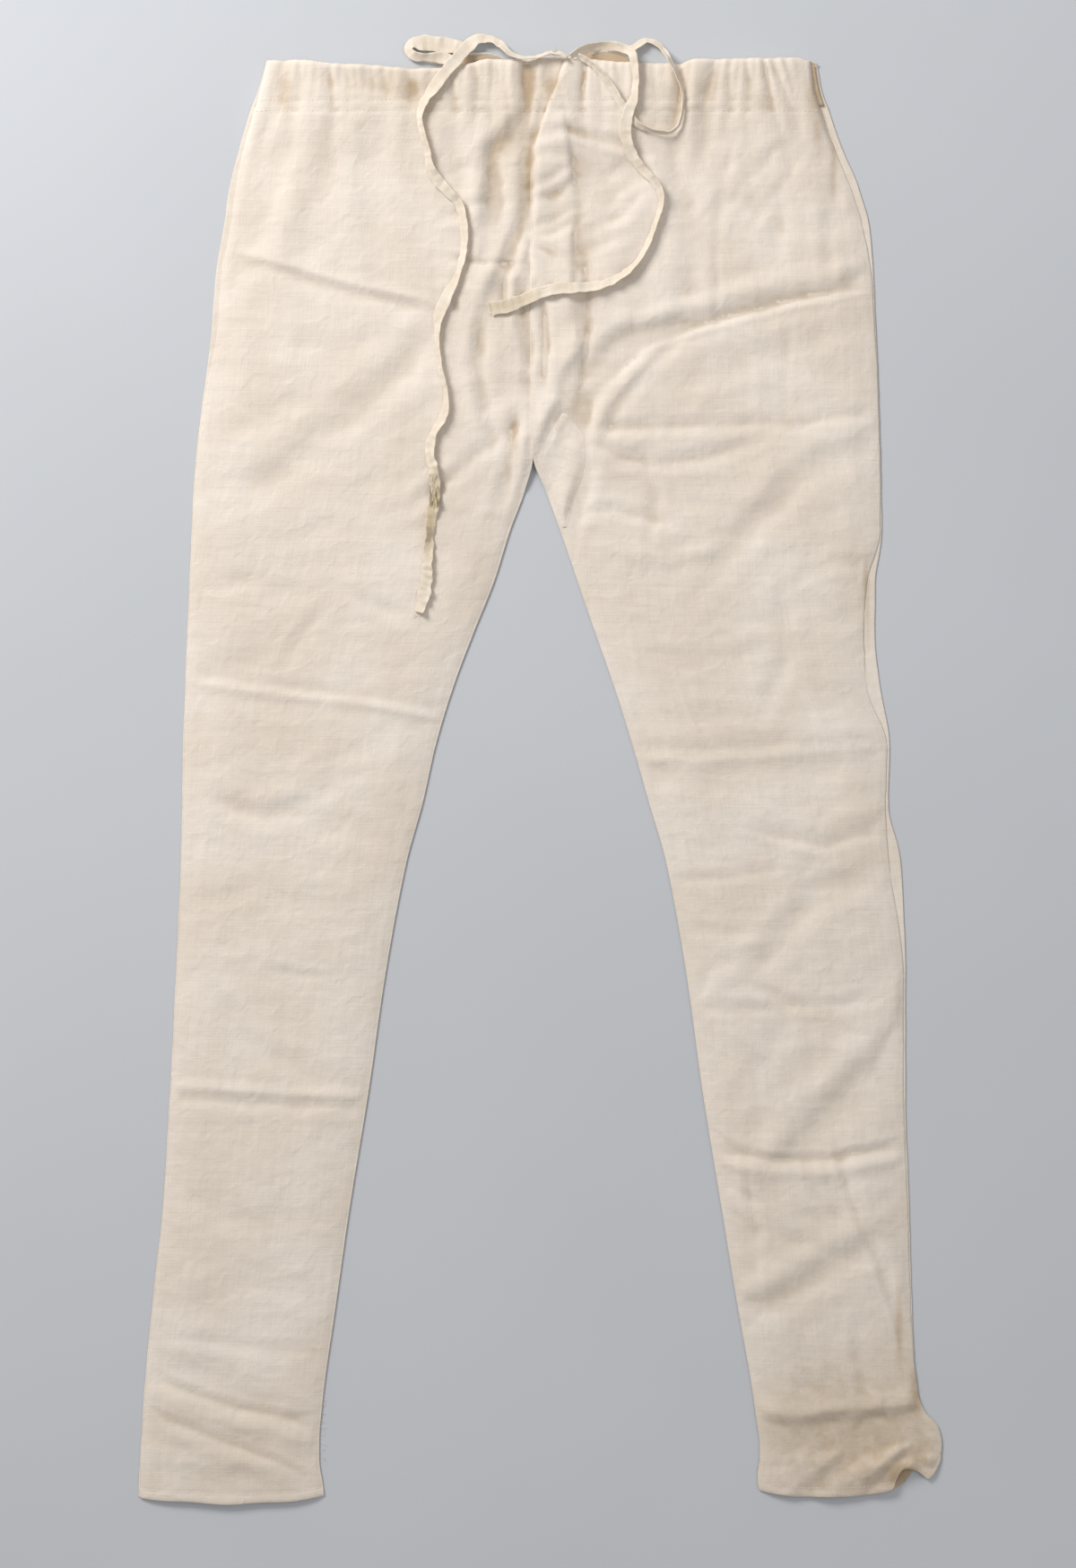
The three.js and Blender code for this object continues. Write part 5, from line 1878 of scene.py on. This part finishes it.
@dataclass
class Sewing:
    """The stitching that shows on the front: casing, hems and gusset."""

    form: FrontForm
    spacing: float = 3.0
    length: float = 2.2
    radius: float = 0.2
    in_hem: float = -0.05  # height of the hem's stitches over the cloth
    on_gusset: float = 0.45
    gusset_inset: float = 2.6

    def on_front(self, across: Array, down: Array, lift: float = 0.1) -> Array:
        """Points on the front, evenly spaced along a line of places.

        Args:
            across: Places across.
            down: Places down.
            lift: Their height over the cloth.

        Returns:
            The points.
        """
        line = even_route(np.stack([across, down], axis=1), self.spacing)
        wobble = 0.25 * np.sin(line[:, 0] * 0.31) + 0.2 * np.sin(line[:, 1] * 0.23)
        height = self.form.top(line[:, 0], line[:, 1] + wobble) + lift
        return np.stack([line[:, 0], GARMENT_LENGTH / 2 - line[:, 1] - wobble, height], axis=1)

    def build(self, material: Material) -> list[Piece]:
        """Makes the rows of stitches, one object a place.

        Args:
            material: The thread's material.

        Returns:
            The objects.
        """
        left, right = np.linspace(-197, -3, 40), np.linspace(8, 193, 40)
        share = np.linspace(0.03, 0.97, 30)
        ankle = np.linspace(158, 243, 24)
        down = np.linspace(252, 325, 20)
        rows = {
            "stitch_casing_left": [self.on_front(left, np.full(40, row))
                                   for row in CASING_STITCHES],
            "stitch_casing_right": [self.on_front(right, np.full(40, row))
                                    for row in CASING_STITCHES],
            "stitch_hems": [
                self.on_front(-279 + share * 127.5, left_front_hem(share) - HEM_STITCHES,
                              self.in_hem),
                self.on_front(ankle, FRONT_HEM(ankle) - HEM_STITCHES, self.in_hem)],
            "stitch_gusset": [
                self.on_front(GUSSET_INNER(down) + self.gusset_inset, down, self.on_gusset),
                self.on_front(GUSSET_OUTER(down) - self.gusset_inset, down, self.on_gusset)],
        }
        made = []
        for name, lines in rows.items():
            rings = np.concatenate([stitch_rings(line, self.length, self.radius)
                                    for line in lines])
            made.append(dress(tubes(name, rings * MM), material, "cotton_cloth"))
        return made


# Loose threads at the left ankle, the right and left tapes' cut ends, the tuft at the waist and
# the frayed place on the right tail: count, heading from and to in degrees, length from and to,
# and height over the cloth.
LOOSE = (
    (9, -50, 50, 2.5, 6, 0.0), (9, 150, 210, 1.5, 3.5, 1.1), (8, 60, 120, 1.5, 3.5, 1.1),
    (26, 200, 380, 2.5, 6.5, 2.6), (14, 0, 360, 2, 5, 3.0),
)


@dataclass
class LooseThreads:
    """Short thread ends: the left ankle's inner edge, the tapes' cut ends, and frayed places."""

    form: FrontForm
    radius: float = 0.13
    ankle_height: float = 1.1
    lowest: float = 0.2

    def build(self, material: Material) -> Piece:
        """Makes each thread as a thin tube along an arc that starts on the cloth.

        A thread's place at a share t of its length is its start plus t of its length in a
        heading that turns evenly, and it sinks by half of t.

        Args:
            material: The thread's material.

        Returns:
            The threads, as one object.
        """
        chance = np.random.default_rng(83)
        ankle = np.stack([np.full(9, -153.0), np.linspace(934, 975, 9)], axis=1)
        right_end = np.stack([np.full(9, -34.0), np.linspace(171.5, 180.5, 9)], axis=1)
        left_end = np.stack([np.linspace(-88, -80.5, 8), np.full(8, 388.0)], axis=1)
        tuft = np.stack([chance.uniform(5, 13, 26), chance.uniform(-1.5, 2.5, 26)], axis=1)
        frayed = np.stack([chance.uniform(5, 12, 14), chance.uniform(158, 165, 14)], axis=1)
        start = np.concatenate([ankle, right_end, left_end, tuft, frayed])
        heading = np.concatenate([chance.uniform(row[1], row[2], row[0]) for row in LOOSE])
        length = np.concatenate([chance.uniform(row[3], row[4], row[0]) for row in LOOSE])
        bend = chance.uniform(-0.9, 0.9, len(start))
        t = np.linspace(0, 1, 7)
        angle = np.radians(heading)[:, None] + bend[:, None] * t
        x = start[:, :1] + length[:, None] * t * np.cos(angle)
        y = start[:, 1:] + length[:, None] * t * np.sin(angle)
        over = np.repeat([row[5] for row in LOOSE], [row[0] for row in LOOSE])
        base = self.form.top(start[:, 0], np.maximum(start[:, 1], 4.0)) + over
        base[:len(ankle)] = self.ankle_height
        z = np.maximum(self.lowest, base[:, None] - 0.5 * t)
        middle = np.stack([x, GARMENT_LENGTH / 2 - y, z], axis=-1)
        _, side, up = thread_axes(np.gradient(middle, axis=1))
        rings = rings_round(middle, side, up, self.radius * (1 - 0.5 * t))
        return dress(tubes("loose_threads", rings * MM), material, "cotton_tape")


# ---- studio ----

@dataclass
class Studio:
    """A pale floor, a camera straight above, and soft light from the upper left, in metres."""

    lens: float = 85.0
    height: float = 2.581
    centre: tuple[float, float] = (-0.00156, -0.0025)
    floor_reach: float = 3.0
    floor_level: float = -0.0003

    def camera(self) -> None:
        """Places the camera, which looks straight down."""
        data = bpy.data.cameras.new("camera")
        data.lens = self.lens
        data.clip_end = 20.0
        made = bpy.data.objects.new("camera", data)
        made.location = (*self.centre, self.height)
        bpy.context.scene.collection.objects.link(made)
        bpy.context.scene.camera = made

    def light(self, name: str, place: tuple[float, float, float], size: float, power: float,
              tint: tuple[float, float, float]) -> None:
        """Places one square soft light that faces the garment.

        Args:
            name: Its name.
            place: Its place, in metres.
            size: The length of its sides, in metres.
            power: Its power, in watts.
            tint: Its colour.
        """
        data = bpy.data.lights.new(name, "AREA")
        data.shape = "SQUARE"
        data.size, data.energy, data.color = size, power, tint
        made = bpy.data.objects.new(name, data)
        away = np.array(place)
        flat = math.hypot(away[0], away[1])
        made.location = place
        made.rotation_euler = (math.atan2(flat, away[2]), 0.0,
                               math.atan2(away[1], away[0]) + math.pi / 2)
        bpy.context.scene.collection.objects.link(made)

    def build(self) -> None:
        """Makes the lights, the sky and the floor."""
        self.light("key", (-1.25, 1.55, 1.3), 0.8, 41.0, (1.0, 0.985, 0.965))
        self.light("fill", (1.8, 0.1, 2.3), 1.8, 8.0, (0.98, 0.985, 1.0))
        world = bpy.data.worlds.new("studio")
        world.use_nodes = True
        sky = world.node_tree.nodes["Background"]
        sky.inputs["Color"].default_value = (1.0, 1.0, 1.0, 1.0)
        sky.inputs["Strength"].default_value = 0.4
        bpy.context.scene.world = world
        bpy.context.scene.view_settings.view_transform = "Standard"
        corners = np.array([[-1, -1, 0], [1, -1, 0], [1, 1, 0], [-1, 1, 0]]) * self.floor_reach
        corners[:, 2] = self.floor_level
        floor = make_mesh("floor", corners, [np.array([[0, 1, 2, 3]])])
        floor.data.materials.append(PaleFloor().material())


def main() -> None:
    """Builds the garment and the studio, piece by piece."""
    logging.basicConfig(level=logging.INFO, format="%(name)s: %(message)s")
    studio = Studio()
    studio.camera()
    form = FrontForm()
    cloth = Cotton("cotton_cloth", srgb(240, 229, 217), srgb(233, 220, 205),
                   srgb(208, 192, 173), srgb(193, 171, 143)).material()
    # the casing's inside: the cloth's colours darkened as painted shade
    inside = Cotton("cotton_inside", srgb(216, 198, 174), srgb(203, 183, 155),
                    srgb(180, 154, 122), srgb(188, 156, 114)).material()
    tape = Tape("cotton_tape", srgb(240, 229, 214), srgb(228, 214, 195),
                srgb(206, 186, 150), srgb(118, 108, 76)).material()
    thread = Thread("cotton_thread", srgb(240, 233, 220), srgb(222, 210, 190)).material()
    for name, route, far_end, seed in (
        ("tape_left_tail", LEFT_TAIL, "bare", 201),
        ("tape_left_loop", LEFT_LOOP, "object", 203),
        ("tape_right_tail", RIGHT_TAIL, "bare", 205),
        ("tape_right_loop", RIGHT_LOOP, "object", 207),
    ):
        DrawstringRun(name, route, far_end, form, seed).build(tape)
    BackLeg(Side.LEFT, (0.262, 1.044), 0.178).build(cloth)
    BackLeg(Side.RIGHT, (0.262, 1.040), 0.176).build(cloth)
    TurnedEdge("turn_back", "casing_turn_back", "left_back", "right_back", LAYER, BACK_WAIST,
               (0.392, 0.032)).build(inside)
    TurnedEdge("turn_front_left", "casing_turn_front_left", "left_front", "left_inner",
               2 * LAYER, WAIST, (0.197, 0.032)).build(inside)
    TurnedEdge("turn_front_right", "casing_turn_front_right", "right_inner", "right_front",
               2 * LAYER, WAIST, (0.180, 0.032)).build(inside)
    FrontLeg(Side.LEFT, form, 1004.0, (0.262, 1.012), 0.172).build(cloth)
    FrontLeg(Side.RIGHT, form, 1002.0, (0.262, 1.010), 0.172).build(cloth)
    Gusset(form).build(cloth)
    Sewing(form).build(thread)
    LooseThreads(form).build(thread)
    studio.build()
    bpy.context.view_layer.update()


if __name__ == "__main__":
    main()
